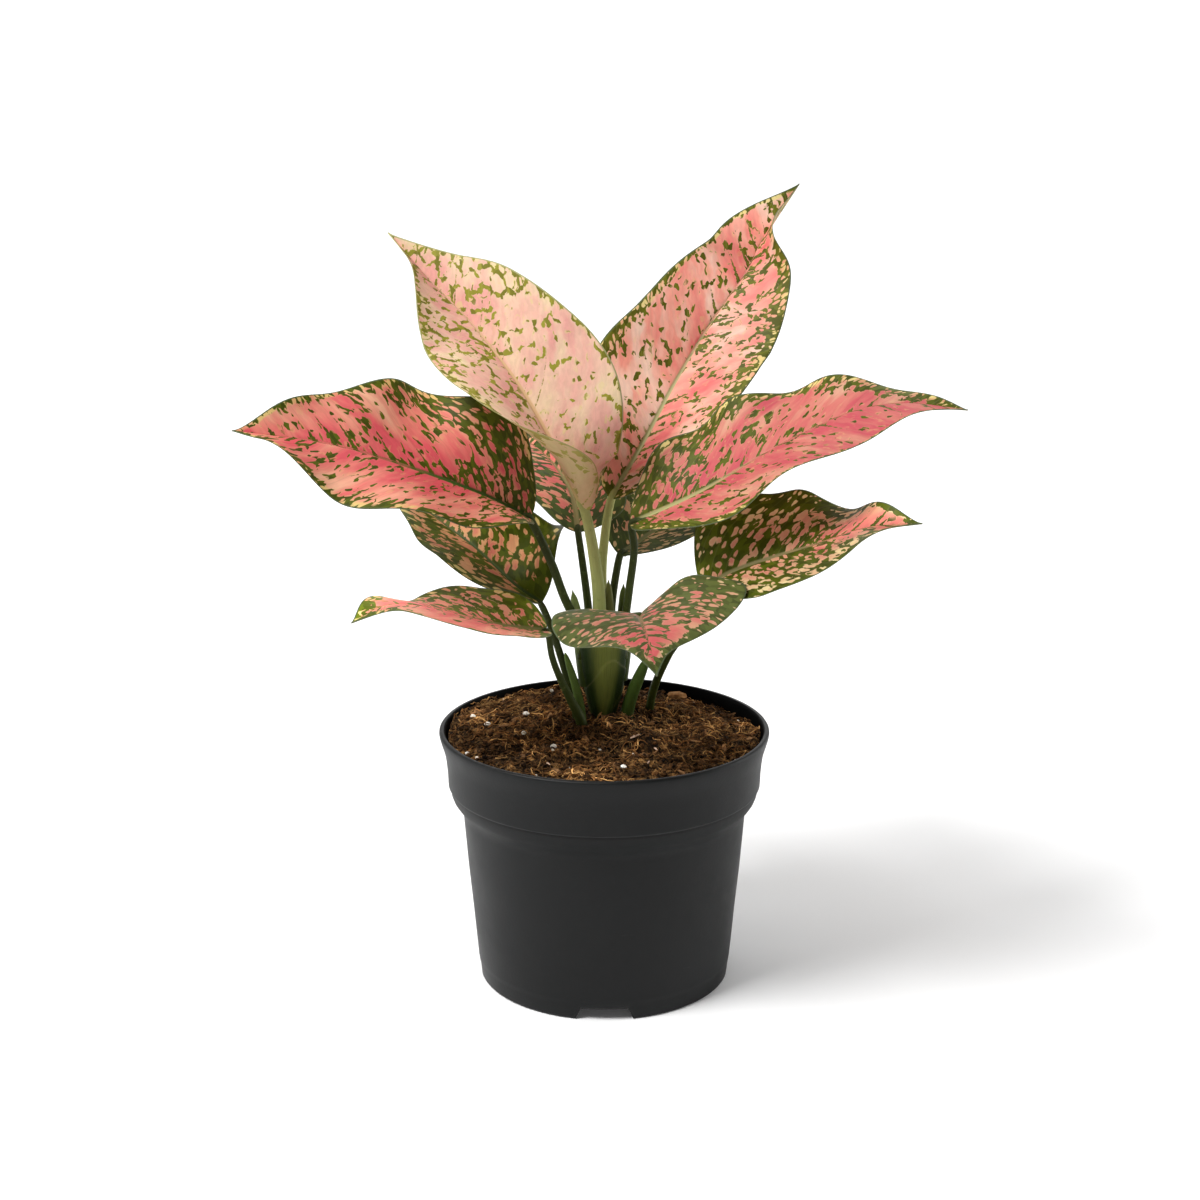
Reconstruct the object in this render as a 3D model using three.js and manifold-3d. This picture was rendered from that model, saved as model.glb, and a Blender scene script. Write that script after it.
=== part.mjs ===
// Potted pink leopard Chinese evergreen, an aroid house plant in a round grower's pot.
// Millimetres, +Z up. The origin is on the pot's axis, in the plane that the pot stands on.
// The viewer of the plant's front looks along +Y, with +X to the right.
import * as THREE from 'three';
import { mergeVertices } from 'three/addons/utils/BufferGeometryUtils.js';
import Module from 'manifold-3d';

const wasm = await Module();
wasm.setup();

// Driving dimensions of the pot, a standard 14 cm round grower's pot
const RIM_RADIUS = 70;
const POT_HEIGHT = 110;
const BASE_RADIUS = 54;
const WALL = 1.4;
const COLLAR_RADIUS = 67.4;
const COLLAR_BOTTOM = 73;
const FLOOR_UNDERSIDE = 5;
const FLOOR_THICKNESS = 1.6;
const FOOT_WIDTH = 4;
const NOTCH_COUNT = 4;
const NOTCH_TOP_WIDTH = 19;
const NOTCH_BOTTOM_WIDTH = 23.5;
const NOTCH_HEIGHT = 5;
const DRAIN_RADIUS = 4.5;
const DRAIN_CIRCLE = 38;
const POT_SIDES = 56;

// Driving dimensions of the soil and of the plant
const GAP = 0.3;
const STALK_GAP = 0.5;
const SOIL_EDGE_HEIGHT = 108.2;
const SOIL_MOUND = 6;
const SOIL_MOUND_REACH = 34;
const SOIL_DIP = 5;
const BLADE_THICKNESS = 0.8;
const BLADE_STUB = 0.8;
const BLADE_ROWS = 19;
const HALF_CELLS = 3;
const STALK_SIDES = 8;
const STALK_STEPS = 9;
const CANE_CENTRE = [-0.6, 3];
const CANE_TOP = 150;
const CANE_FOOT = 96;

// Each leaf has a midrib through points from the stalk to the drip tip, its greatest width,
// and the roll of its face about the midrib in degrees. A half blade has, at five even stations
// from 10 to 90 percent of the length: its lift off the face, the curl added by the margin, and
// its share of the width. Its wave has a height in mm, a count along the leaf and a phase in turns.
// The stalk runs from its foot to the blade, with the radius at the foot and at the blade.
const LEAVES = [
  {
    name: '1', width: 68, roll: [-58, -62, -62], halfCells: 5,
    midrib: [[-7.6, -18, 207], [-13.4, -24, 221], [-22, -24, 238], [-35, -16, 259], [-53, -2, 280],
      [-70, 8, 296], [-88, 18, 315]],
    left: { lift: [30, 50, 57, 50, 85], curl: [165, 45, 0, 0, 0], share: [0.8, 0.85, 0.96, 0.9, 0.7],
      wave: [1.5, 3, 0.1] },
    right: { lift: [40, 0, 5, 10, 10], curl: [0], share: [1.1, 1.12, 0.99, 0.96, 0.9],
      wave: [1.5, 3, 0.3] },
    stalk: { path: [[-2, -4.5, CANE_TOP], [-2.3, -8, 170], [-4.8, -13, 191]], radii: [3.3, 1.9] },
  },
  {
    name: '2', width: 64, roll: [50],
    midrib: [[2.6, 1.5, 208], [17, 18, 230], [30, 27, 253], [45, 34, 277], [59, 39, 296], [67, 44, 311],
      [82, 50, 333]],
    left: { lift: [20, 5, 27, 15, 15], curl: [0], share: [1.1, 1.15, 0.98, 0.95, 1.25],
      wave: [2, 3, 0.2] },
    right: { lift: [50, 35, 20, 18, 85], curl: [0], share: [1, 1, 1.03, 1.05, 0.75],
      wave: [2, 2.5, 0.2] },
    stalk: { path: [[1.2, 3, CANE_TOP], [-1, 4, 172], [0.2, 2, 192]], radii: [2.3, 1.7] },
  },
  {
    name: '3', width: 68, roll: [-35],
    midrib: [[-30, -14, 203], [-50, -26, 216], [-80, -38, 230], [-106, -44, 239], [-143, -48, 245]],
    left: { lift: [22, 14, 12, -1, 35], curl: [0], share: [1, 1, 1, 1, 1.15], wave: [2, 2.7, 0.08] },
    right: { lift: [58, 40, 12, 20, 25], curl: [0], share: [1.3, 1.15, 1.1, 1.05, 1.05],
      wave: [4.5, 3, 0.6] },
    stalk: { path: [[-9.4, -1, CANE_TOP], [-16.5, -7, 168], [-21.8, -11, 184]], radii: [2, 1.6] },
  },
  {
    name: '4', width: 66, roll: [35],
    midrib: [[11, -14, 201], [38, -24, 216], [68, -32, 236], [95, -37, 250], [116, -39, 254],
      [140, -42, 252]],
    left: { lift: [28, 12, 0, -10, -10], curl: [0], share: [1.2, 1.05, 1, 0.95, 0.8],
      wave: [3.5, 3.6, 0.81] },
    right: { lift: [18, 14, 21, 13, 33], curl: [0], share: [1], wave: [2, 2, 0.1] },
    stalk: { path: [[8, -0.5, CANE_TOP], [10.2, -5, 170], [12.2, -10, 189]], radii: [1.8, 1.5] },
  },
  {
    name: '5', width: 56, roll: [35],
    midrib: [[39, -35, 179], [51, -42, 188], [67, -50, 196], [81, -56, 202], [100, -62, 210],
      [120, -68, 213]],
    left: { lift: [50, 25, 8, -16, 10], curl: [0], share: [1.5, 1.15, 1, 1, 0.9], wave: [2, 3, 0.65] },
    right: { lift: [19, 16, 14, 24, 35], curl: [0], share: [1], wave: [1.5, 2.5, 0] },
    stalk: {
      path: [[18.3, 14.5, 98], [20.6, 10.5, 120.7], [26, -8, 142], [30.6, -28, 157], [34.2, -33, 170]],
      radii: [1.9, 1.4],
    },
  },
  {
    name: '6', width: 74, roll: [0],
    midrib: [[14, -34, 168], [14, -56, 172], [15, -79, 174], [17, -97, 172], [19, -105, 164]],
    left: { lift: [42, 30, 17, 9, 2], curl: [0], share: [1, 1.02, 1.13, 0.98, 0.52], wave: [1.5, 2, 0.2] },
    right: { lift: [10, 3, -4, -7, -2], curl: [0], share: [1, 0.95, 0.92, 0.87, 0.6], wave: [1.5, 2, 0.5] },
    stalk: { path: [[4.5, -4.5, CANE_TOP], [8, -13, 160]], radii: [2, 1.5] },
  },
  {
    name: '7', width: 50, roll: [0],
    midrib: [[-23, -26, 159], [-42, -38, 165], [-64, -52, 175], [-83, -60, 179], [-97, -68, 174]],
    left: { lift: [0, 0, -5, 0, 5], curl: [0], share: [1], wave: [0, 0, 0] },
    right: { lift: [55, 30, 2, -2, 6], curl: [0], share: [1, 1, 1, 1, 1.25], wave: [2.5, 2.1, 0.28] },
    stalk: {
      path: [[-8.2, -9.8, 98], [-9.5, -10.8, 114.5], [-14.2, -13, 126], [-18.6, -17, 137],
        [-21.5, -21, 147]],
      radii: [3.6, 1.3],
    },
  },
  {
    name: '8', width: 62, roll: [-35],
    midrib: [[-26.5, 6, 162], [-37.5, 9.5, 169], [-54, 20, 182], [-69, 30, 191], [-94, 44, 207]],
    left: { lift: [45, 43, 44, 44, 42], curl: [0], share: [1], wave: [1, 3, 0.2] },
    right: { lift: [38, -10, 5, 10, 10], curl: [0], share: [1.5, 1.2, 0.85, 0.8, 0.8],
      wave: [1.5, 2.2, 0.5] },
    stalk: {
      path: [[-10.5, 1.5, 98], [-12.7, 0, 122.8], [-15.6, -1.5, 132], [-21.4, -1, 151]],
      radii: [1.9, 1.4],
    },
  },
  {
    name: '9', width: 56, roll: [-25],
    midrib: [[-11, 16.5, 190.5], [-14, 37, 202.5], [-22, 60, 211], [-33, 84, 216], [-46, 105, 217]],
    left: { lift: [35, 25], curl: [0], share: [0.8, 0.9, 1, 1, 1], wave: [2, 2, 0.2] },
    right: { lift: [-20, -10, 0, 10, 15], curl: [0], share: [1.2, 0.85, 0.8, 0.9, 1], wave: [2, 2.5, 0.5] },
    stalk: { path: [[-6, 7.5, CANE_TOP], [-7.5, 9, 166]], radii: [1.9, 1.4] },
  },
  {
    name: '10', width: 60, roll: [25],
    midrib: [[6.5, 14, 181], [22, 36, 187], [40, 60, 195], [60, 84, 203], [84, 105, 210]],
    left: { lift: [15, 22, 22, 15, 15], curl: [0], share: [1.3, 0.88, 0.85, 0.9, 1], wave: [2, 2, 0.2] },
    right: { lift: [28], curl: [0], share: [0.9], wave: [2, 2.5, 0.5] },
    stalk: { path: [[2.6, 9.5, CANE_TOP], [3.6, 11, 164]], radii: [1.9, 1.5] },
  },
];

// Young side shoots beside the cane, still rolled shut, from foot to tip
const SHOOTS = [
  { name: 'shoot_left', path: [[-8, -3.5, 98], [-10.6, -5.5, 123], [-16.4, -6, 144]], radii: [2.2, 1.6] },
  { name: 'shoot_right', path: [[8.6, 3, 98], [10.4, 1, 119], [18, -5, 141.5]], radii: [3.1, 2.4] },
];

// Old leaf sheaths that clasp the cane, from foot to pointed tip
const SHEATHS = [
  { path: [[-7, 1, 128], [-9.8, 1, 148], [-13.3, 1.5, 169]], radii: [3.6, 0.9] },
  { path: [[1.4, -1, 136], [1.8, -2.2, 158], [1.7, -2.8, 174.5]], radii: [3.2, 0.8] },
  { path: [[6, 2.5, 130], [8.2, 3.5, 150], [8, 4, 171]], radii: [4, 0.9] },
];

const COLOURS = {
  pot: 0x3a3d3e,
  soil: 0x4a3120,
  cane: 0x6d7a35,
  stalk: 0x4c5c34,
  shoot: 0x5d7a2c,
  blade: 0xe08a80,
};

const radians = THREE.MathUtils.degToRad;

/** A matt or satin finish in one colour. */
function finish(colour, roughness) {
  return new THREE.MeshStandardMaterial({ color: colour, roughness, metalness: 0 });
}

/** A named piece of the plant. */
function piece(name, geometry, material) {
  const mesh = new THREE.Mesh(geometry, material);
  mesh.name = name;
  return mesh;
}

/** The smooth value at t of a list of values at even stations from 10 to 90 percent. */
function along(values, t, start = 0.1, end = 0.9) {
  if (values.length === 1) return values[0];
  const last = values.length - 1;
  const x = THREE.MathUtils.clamp((t - start) / (end - start), 0, 1) * last;
  const i = Math.min(Math.floor(x), last - 1);
  const at = (k) => values[THREE.MathUtils.clamp(k, 0, last)];
  const f = x - i;
  const [a, b, c, d] = [at(i - 1), at(i), at(i + 1), at(i + 2)];
  const square = (2 * a - 5 * b + 4 * c - d) * f * f;
  const cube = (3 * b - a - 3 * c + d) * f * f * f;
  return 0.5 * (2 * b + (c - a) * f + square + cube);
}

/** Half width along the blade: round at the base, fullest at 44 percent, drawn out to a drip tip. */
function bladeForm(t) {
  const outline = (x) => x ** 0.55 * (1 - x) ** 1.25 * (1 + 1.7 * x);
  return outline(t) / outline(0.44);
}

/** A smooth curve through points given as coordinates. */
function curveThrough(places) {
  const points = places.map((place) => new THREE.Vector3(...place));
  return new THREE.CatmullRomCurve3(points, false, 'catmullrom', 0.5);
}

/** A closed body from its points and triangles, turned to face outwards. */
function closedBody(points, triangles) {
  const a = new THREE.Vector3();
  const b = new THREE.Vector3();
  const c = new THREE.Vector3();
  let volume = 0;
  for (let i = 0; i < triangles.length; i += 3) {
    a.copy(points[triangles[i]]);
    b.copy(points[triangles[i + 1]]);
    c.copy(points[triangles[i + 2]]);
    volume += a.dot(b.cross(c));
  }
  const index = triangles.slice();
  if (volume < 0) index.reverse();
  const geometry = new THREE.BufferGeometry();
  geometry.setFromPoints(points);
  geometry.setIndex(index);
  geometry.computeVertexNormals();
  return geometry;
}

/** A leaf blade: a thin body on the waved surface that the two half blades make. */
function bladeGeometry(leaf) {
  const rows = BLADE_ROWS;
  const half = leaf.halfCells ?? HALF_CELLS;
  const columns = 2 * half;
  const curve = curveThrough(leaf.midrib);
  const up = new THREE.Vector3(0, 0, 1);
  const surface = [];
  for (let i = 0; i <= rows; i++) {
    const even = i / rows;
    const t = THREE.MathUtils.lerp(even, 0.5 - 0.5 * Math.cos(Math.PI * even), 0.6);
    const centre = curve.getPointAt(t);
    const forward = curve.getTangentAt(t);
    const face = up.clone().addScaledVector(forward, -up.dot(forward)).normalize();
    const side = forward.clone().cross(face);
    const roll = radians(along(leaf.roll, t, 0, 1));
    const normal = face.clone().multiplyScalar(Math.cos(roll)).addScaledVector(side, Math.sin(roll));
    const across = side.clone().multiplyScalar(Math.cos(roll)).addScaledVector(face, -Math.sin(roll));
    for (let j = 0; j <= columns; j++) {
      const s = (j - half) / half;
      const blade = s < 0 ? leaf.left : leaf.right;
      const reach = Math.abs(s);
      const width = (leaf.width / 2) * bladeForm(t) * along(blade.share, t) + BLADE_STUB;
      const lift = radians(along(blade.lift, t));
      const curl = radians(along(blade.curl, t));
      const [height, count, phase] = blade.wave;
      let out = Math.cos(lift) * reach;
      let rise = Math.sin(lift) * reach;
      if (Math.abs(curl) > 0.001) {
        out = (Math.sin(lift + curl * reach) - Math.sin(lift)) / curl;
        rise = (Math.cos(lift) - Math.cos(lift + curl * reach)) / curl;
      }
      const ends = Math.sin(Math.PI * t) ** 0.6;
      const wave = height * Math.sin(2 * Math.PI * (count * t + phase)) * ends * reach * reach;
      surface.push(centre.clone()
        .addScaledVector(across, Math.sign(s) * out * width)
        .addScaledVector(normal, rise * width + wave));
    }
  }
  return thickened(surface, rows, columns, BLADE_THICKNESS);
}

/** A grid of points made into a sheet with the given thickness, split alike on both faces. */
function thickened(surface, rows, columns, thickness) {
  const at = (i, j) => i * (columns + 1) + j;
  const count = surface.length;
  const points = [];
  for (const sense of [1, -1]) {
    for (let i = 0; i <= rows; i++) {
      for (let j = 0; j <= columns; j++) {
        const before = surface[at(Math.max(i - 1, 0), j)];
        const beyond = surface[at(Math.min(i + 1, rows), j)];
        const leftward = surface[at(i, Math.max(j - 1, 0))];
        const rightward = surface[at(i, Math.min(j + 1, columns))];
        const lengthways = beyond.clone().sub(before);
        const crossways = rightward.clone().sub(leftward);
        const normal = crossways.cross(lengthways).normalize();
        points.push(surface[at(i, j)].clone().addScaledVector(normal, sense * thickness / 2));
      }
    }
  }
  const triangles = [];
  for (let i = 0; i < rows; i++) {
    for (let j = 0; j < columns; j++) {
      const [a, b, c, d] = [at(i, j), at(i + 1, j), at(i + 1, j + 1), at(i, j + 1)];
      const nearRib = j < columns / 2;
      const upper = nearRib ? [a, b, c, a, c, d] : [a, b, d, b, c, d];
      triangles.push(...upper);
      const lower = upper.map((k) => k + count).reverse();
      triangles.push(...lower);
    }
  }
  const edge = [];
  for (let j = 0; j < columns; j++) edge.push(at(0, j));
  for (let i = 0; i < rows; i++) edge.push(at(i, columns));
  for (let j = columns; j > 0; j--) edge.push(at(rows, j));
  for (let i = rows; i > 0; i--) edge.push(at(i, 0));
  edge.forEach((p, k) => {
    const q = edge[(k + 1) % edge.length];
    triangles.push(p, q, q + count, p, q + count, p + count);
  });
  return closedBody(points, triangles);
}

/**
 * A tapered round stalk along a curve, grown by `extra` all round where a hole is cut for it.
 * Its far end faces along `arrival`, where that is given.
 */
function stalkGeometry(path, radii, extra = 0, arrival = null) {
  const curve = curveThrough(path);
  const points = [];
  const aside = new THREE.Vector3(0, 1, 0);
  for (let i = 0; i <= STALK_STEPS; i++) {
    const t = i / STALK_STEPS;
    const forward = arrival && i === STALK_STEPS ? arrival : curve.getTangentAt(t);
    const right = aside.clone().cross(forward).normalize();
    const back = forward.clone().cross(right);
    const radius = THREE.MathUtils.lerp(radii[0], radii[1], t) + extra;
    const centre = curve.getPointAt(t);
    if (i === 0) centre.addScaledVector(forward, -extra);
    for (let k = 0; k < STALK_SIDES; k++) {
      const turn = (2 * Math.PI * k) / STALK_SIDES;
      points.push(centre.clone()
        .addScaledVector(right, radius * Math.cos(turn))
        .addScaledVector(back, radius * Math.sin(turn)));
    }
  }
  const triangles = [];
  for (let i = 0; i < STALK_STEPS; i++) {
    for (let k = 0; k < STALK_SIDES; k++) {
      const next = (k + 1) % STALK_SIDES;
      const [a, b] = [i * STALK_SIDES + k, i * STALK_SIDES + next];
      triangles.push(a, b, b + STALK_SIDES, a, b + STALK_SIDES, a + STALK_SIDES);
    }
  }
  const top = STALK_STEPS * STALK_SIDES;
  for (let k = 1; k < STALK_SIDES - 1; k++) {
    triangles.push(0, k + 1, k);
    triangles.push(top, top + k, top + k + 1);
  }
  return closedBody(points, triangles);
}

/** The way that a blade sets off from its stalk. */
function bladeStart(leaf) {
  const base = new THREE.Vector3(...leaf.midrib[0]);
  return new THREE.Vector3(...leaf.midrib[1]).sub(base).normalize();
}

/** The path of a leaf's stalk, ended a gap short of the blade. */
function stalkPath(leaf) {
  const end = new THREE.Vector3(...leaf.midrib[0]).addScaledVector(bladeStart(leaf), -STALK_GAP);
  const foot = leaf.stalk.path[0].slice();
  if (foot[2] === CANE_TOP) foot[2] += GAP;
  return [foot, ...leaf.stalk.path.slice(1), end.toArray()];
}

/** A closed geometry as a solid that can be joined and cut. */
function solidOf(geometry) {
  const bare = geometry.clone();
  bare.deleteAttribute('normal');
  bare.deleteAttribute('uv');
  const merged = mergeVertices(bare, 1e-4);
  return new wasm.Manifold(new wasm.Mesh({
    numProp: 3,
    vertProperties: new Float32Array(merged.attributes.position.array),
    triVerts: new Uint32Array(merged.index.array),
  }));
}

/** The surface of a solid as a geometry. */
function geometryOf(solid) {
  const mesh = solid.getMesh();
  const geometry = new THREE.BufferGeometry();
  geometry.setAttribute('position', new THREE.BufferAttribute(new Float32Array(mesh.vertProperties), 3));
  geometry.setIndex(new THREE.BufferAttribute(new Uint32Array(mesh.triVerts), 1));
  geometry.computeVertexNormals();
  return geometry;
}

/** A body of revolution about Z from its half section of radius and height pairs. */
function turned(section, sides) {
  const outline = section.map(([r, z]) => new THREE.Vector2(r, z));
  return new THREE.LatheGeometry(outline, sides).rotateX(Math.PI / 2);
}

/** The pot: tapered wall, wide collar, rolled rim, raised floor with drain holes, notched foot ring. */
function potGeometry() {
  const footInside = BASE_RADIUS - FOOT_WIDTH;
  const floorTop = FLOOR_UNDERSIDE + FLOOR_THICKNESS;
  const bodyTop = 60.3;
  const section = [
    [0, FLOOR_UNDERSIDE], [footInside, FLOOR_UNDERSIDE], [footInside, 0], [BASE_RADIUS - 0.7, 0],
    [BASE_RADIUS, 0.8], [bodyTop, COLLAR_BOTTOM], [61.5, 76.2], [63.7, 78.9], [65.2, 82],
    [66.1, 85.3], [COLLAR_RADIUS, 98.5], [68.5, 103], [69.5, 107], [RIM_RADIUS, 108.8],
    [69.5, POT_HEIGHT], [68, POT_HEIGHT], [67.3, 109.2],
    [COLLAR_RADIUS - WALL, 98.5], [66.1 - WALL, 85.3], [63.6, 81.2], [61, 78.4],
    [bodyTop - WALL, 74], [BASE_RADIUS - WALL + 0.5, floorTop], [0, floorTop],
  ];
  let pot = solidOf(turned(section, POT_SIDES));
  for (let k = 0; k < NOTCH_COUNT; k++) {
    const turn = (2 * Math.PI * k) / NOTCH_COUNT - Math.PI / 2;
    const outline = new THREE.Shape([
      new THREE.Vector2(-NOTCH_BOTTOM_WIDTH / 2, -1),
      new THREE.Vector2(NOTCH_BOTTOM_WIDTH / 2, -1),
      new THREE.Vector2(NOTCH_TOP_WIDTH / 2, NOTCH_HEIGHT),
      new THREE.Vector2(-NOTCH_TOP_WIDTH / 2, NOTCH_HEIGHT),
    ]);
    const notch = new THREE.ExtrudeGeometry(outline, { depth: 2 * FOOT_WIDTH, bevelEnabled: false });
    notch.rotateX(Math.PI / 2).rotateZ(Math.PI);
    notch.translate(0, footInside - FOOT_WIDTH / 2, 0).rotateZ(turn - Math.PI / 2);
    pot = pot.subtract(solidOf(notch));
    const drain = new THREE.CylinderGeometry(DRAIN_RADIUS, DRAIN_RADIUS, 3 * FLOOR_THICKNESS, 16);
    drain.rotateX(Math.PI / 2).translate(DRAIN_CIRCLE, 0, FLOOR_UNDERSIDE + FLOOR_THICKNESS / 2);
    drain.rotateZ(turn + Math.PI / NOTCH_COUNT);
    pot = pot.subtract(solidOf(drain));
  }
  return geometryOf(pot);
}

/** Height of the soil: a mound at the cane, a slow swell, and a dip towards the back right. */
function soilHeight(x, y) {
  const reach = Math.hypot(x - CANE_CENTRE[0], y - CANE_CENTRE[1]);
  const mound = SOIL_MOUND * Math.exp(-((reach / SOIL_MOUND_REACH) ** 2));
  const backRight = (x + y) / Math.SQRT2 / COLLAR_RADIUS;
  const dip = SOIL_DIP * Math.max(0, 2 * backRight - 1) ** 1.2;
  const swell = 0.8 * Math.sin(x / 9 + 1) * Math.cos(y / 11) + 0.5 * Math.sin(x / 5 - y / 6);
  return SOIL_EDGE_HEIGHT + mound - dip + swell;
}

/** The soil that fills the pot, with a plain hole for each stem that stands in it. */
function soilGeometry(standing) {
  const floor = FLOOR_UNDERSIDE + FLOOR_THICKNESS + GAP;
  const edge = COLLAR_RADIUS - WALL - GAP;
  const sides = 40;
  const wall = [[52.3, floor], [58.3, 73.4], [60.4, 78.6], [63, 82.2], [64.1, 86.5], [edge - 0.1, 98.5]];
  const topRings = [edge + 0.4, 59, 51, 43, 35, 27, 19, 11, 4];
  const points = [new THREE.Vector3(0, 0, floor)];
  const ringPoints = (radius, heightAt) => {
    for (let k = 0; k < sides; k++) {
      const turn = (2 * Math.PI * k) / sides;
      const [x, y] = [radius * Math.cos(turn), radius * Math.sin(turn)];
      points.push(new THREE.Vector3(x, y, heightAt(x, y)));
    }
  };
  wall.forEach(([radius, z]) => ringPoints(radius, () => z));
  topRings.forEach((radius) => ringPoints(radius, soilHeight));
  points.push(new THREE.Vector3(0, 0, soilHeight(0, 0)));
  const rings = wall.length + topRings.length;
  const triangles = [];
  for (let k = 0; k < sides; k++) {
    const next = (k + 1) % sides;
    triangles.push(0, 1 + next, 1 + k);
    for (let i = 0; i < rings - 1; i++) {
      const a = 1 + i * sides;
      triangles.push(a + k, a + next, a + sides + next, a + k, a + sides + next, a + sides + k);
    }
    const crown = 1 + (rings - 1) * sides;
    triangles.push(crown + k, crown + next, points.length - 1);
  }
  let soil = solidOf(closedBody(points, triangles));
  standing.forEach((hole) => {
    soil = soil.subtract(solidOf(hole));
  });
  return geometryOf(soil);
}

/** The cane from its root end to the flat crown that the leaf stalks stand on. */
function caneBody(extra) {
  const section = [
    [0, CANE_FOOT - extra], [4.6 + extra, CANE_FOOT - extra], [4.8 + extra, 113], [5.6 + extra, 117],
    [7.5 + extra, 121.5], [9.2 + extra, 128], [10.8 + extra, 135], [11.9 + extra, 145],
    [11.9 + extra, CANE_TOP], [0, CANE_TOP],
  ];
  return turned(section, 20).translate(...CANE_CENTRE, 0);
}

/** The cane with its clasping sheaths as one grown body, cut clear of the stalks beside it. */
function caneGeometry(stalksBeside) {
  let cane = solidOf(caneBody(0));
  SHEATHS.forEach((sheath) => {
    cane = cane.add(solidOf(stalkGeometry(sheath.path, sheath.radii)));
  });
  stalksBeside.forEach((stalk) => {
    cane = cane.subtract(solidOf(stalk));
  });
  return geometryOf(cane);
}

const plant = new THREE.Group();
const inSoil = (path) => path[0][2] < SOIL_EDGE_HEIGHT;
const stalks = LEAVES.map((leaf) => ({
  name: `petiole_${leaf.name}`,
  path: stalkPath(leaf),
  radii: leaf.stalk.radii,
  arrival: bladeStart(leaf),
  colour: COLOURS.stalk,
}));
const shoots = SHOOTS.map((shoot) => ({ ...shoot, colour: COLOURS.shoot }));
const stems = [...stalks, ...shoots];

plant.add(piece('pot', potGeometry(), finish(COLOURS.pot, 0.45)));
const standing = stems.filter((stem) => inSoil(stem.path));
const holes = standing.map((stem) => stalkGeometry(stem.path, stem.radii, GAP));
plant.add(piece('soil', soilGeometry([caneBody(GAP), ...holes]), finish(COLOURS.soil, 0.95)));
const beside = stems.map((stem) => stalkGeometry(stem.path, stem.radii, GAP));
plant.add(piece('cane', caneGeometry(beside), finish(COLOURS.cane, 0.5)));
for (const stem of stems) {
  const shape = stalkGeometry(stem.path, stem.radii, 0, stem.arrival);
  plant.add(piece(stem.name, shape, finish(stem.colour, 0.5)));
}
for (const leaf of LEAVES) {
  plant.add(piece(`blade_${leaf.name}`, bladeGeometry(leaf), finish(COLOURS.blade, 0.4)));
}

export default plant;
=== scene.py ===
"""Potted pink leopard Chinese evergreen in a round grower's pot.

The tables hold millimetres. Every mesh is in metres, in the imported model's frame: +Z up, +X to
the right of the plant's front, +Y away from the camera, origin under the pot's middle.
"""

import math

import bpy
import numpy as np
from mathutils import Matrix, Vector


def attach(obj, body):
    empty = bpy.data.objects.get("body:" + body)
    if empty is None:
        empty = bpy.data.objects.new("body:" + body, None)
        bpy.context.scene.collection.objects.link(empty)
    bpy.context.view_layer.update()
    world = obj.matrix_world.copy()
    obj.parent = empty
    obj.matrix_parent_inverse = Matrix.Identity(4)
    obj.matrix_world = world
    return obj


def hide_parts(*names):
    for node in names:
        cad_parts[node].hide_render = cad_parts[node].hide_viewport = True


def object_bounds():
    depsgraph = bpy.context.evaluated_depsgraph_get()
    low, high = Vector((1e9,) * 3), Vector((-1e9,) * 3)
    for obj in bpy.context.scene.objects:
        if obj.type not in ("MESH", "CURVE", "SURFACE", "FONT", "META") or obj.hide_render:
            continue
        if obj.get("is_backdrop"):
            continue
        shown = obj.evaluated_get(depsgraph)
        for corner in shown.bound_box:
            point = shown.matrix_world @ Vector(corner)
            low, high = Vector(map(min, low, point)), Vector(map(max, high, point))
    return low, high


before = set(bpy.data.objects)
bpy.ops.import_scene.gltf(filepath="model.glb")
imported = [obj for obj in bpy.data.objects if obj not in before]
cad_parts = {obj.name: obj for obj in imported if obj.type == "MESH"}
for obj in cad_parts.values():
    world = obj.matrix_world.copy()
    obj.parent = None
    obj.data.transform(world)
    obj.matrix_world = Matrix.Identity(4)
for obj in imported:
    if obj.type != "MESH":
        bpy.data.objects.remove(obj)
cad_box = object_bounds()

MM = 0.001
UP = np.array([0.0, 0.0, 1.0])

# Pot
POT_COLUMNS = 240
POT_HEIGHT = 110.0
BASE_RADIUS = 54.0
FOOT_INSIDE = 50.0
FLOOR_UNDERSIDE = 5.0
FLOOR_TOP = 6.6
NOTCH_HEIGHT = 5.0
NOTCH_HALF_TOP = 9.5
NOTCH_HALF_BOTTOM = 11.75
NOTCH_RADIUS = 52.0
DRAIN_RADIUS = 4.5
DRAIN_CIRCLE = 38.0
# The ring of the floor that is woven round the holes, and points on the spokes between them
DRAIN_BAND = (20.0, 44.0)
DRAIN_SPOKE = np.array([26.0, 32.0, 38.0])
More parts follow.
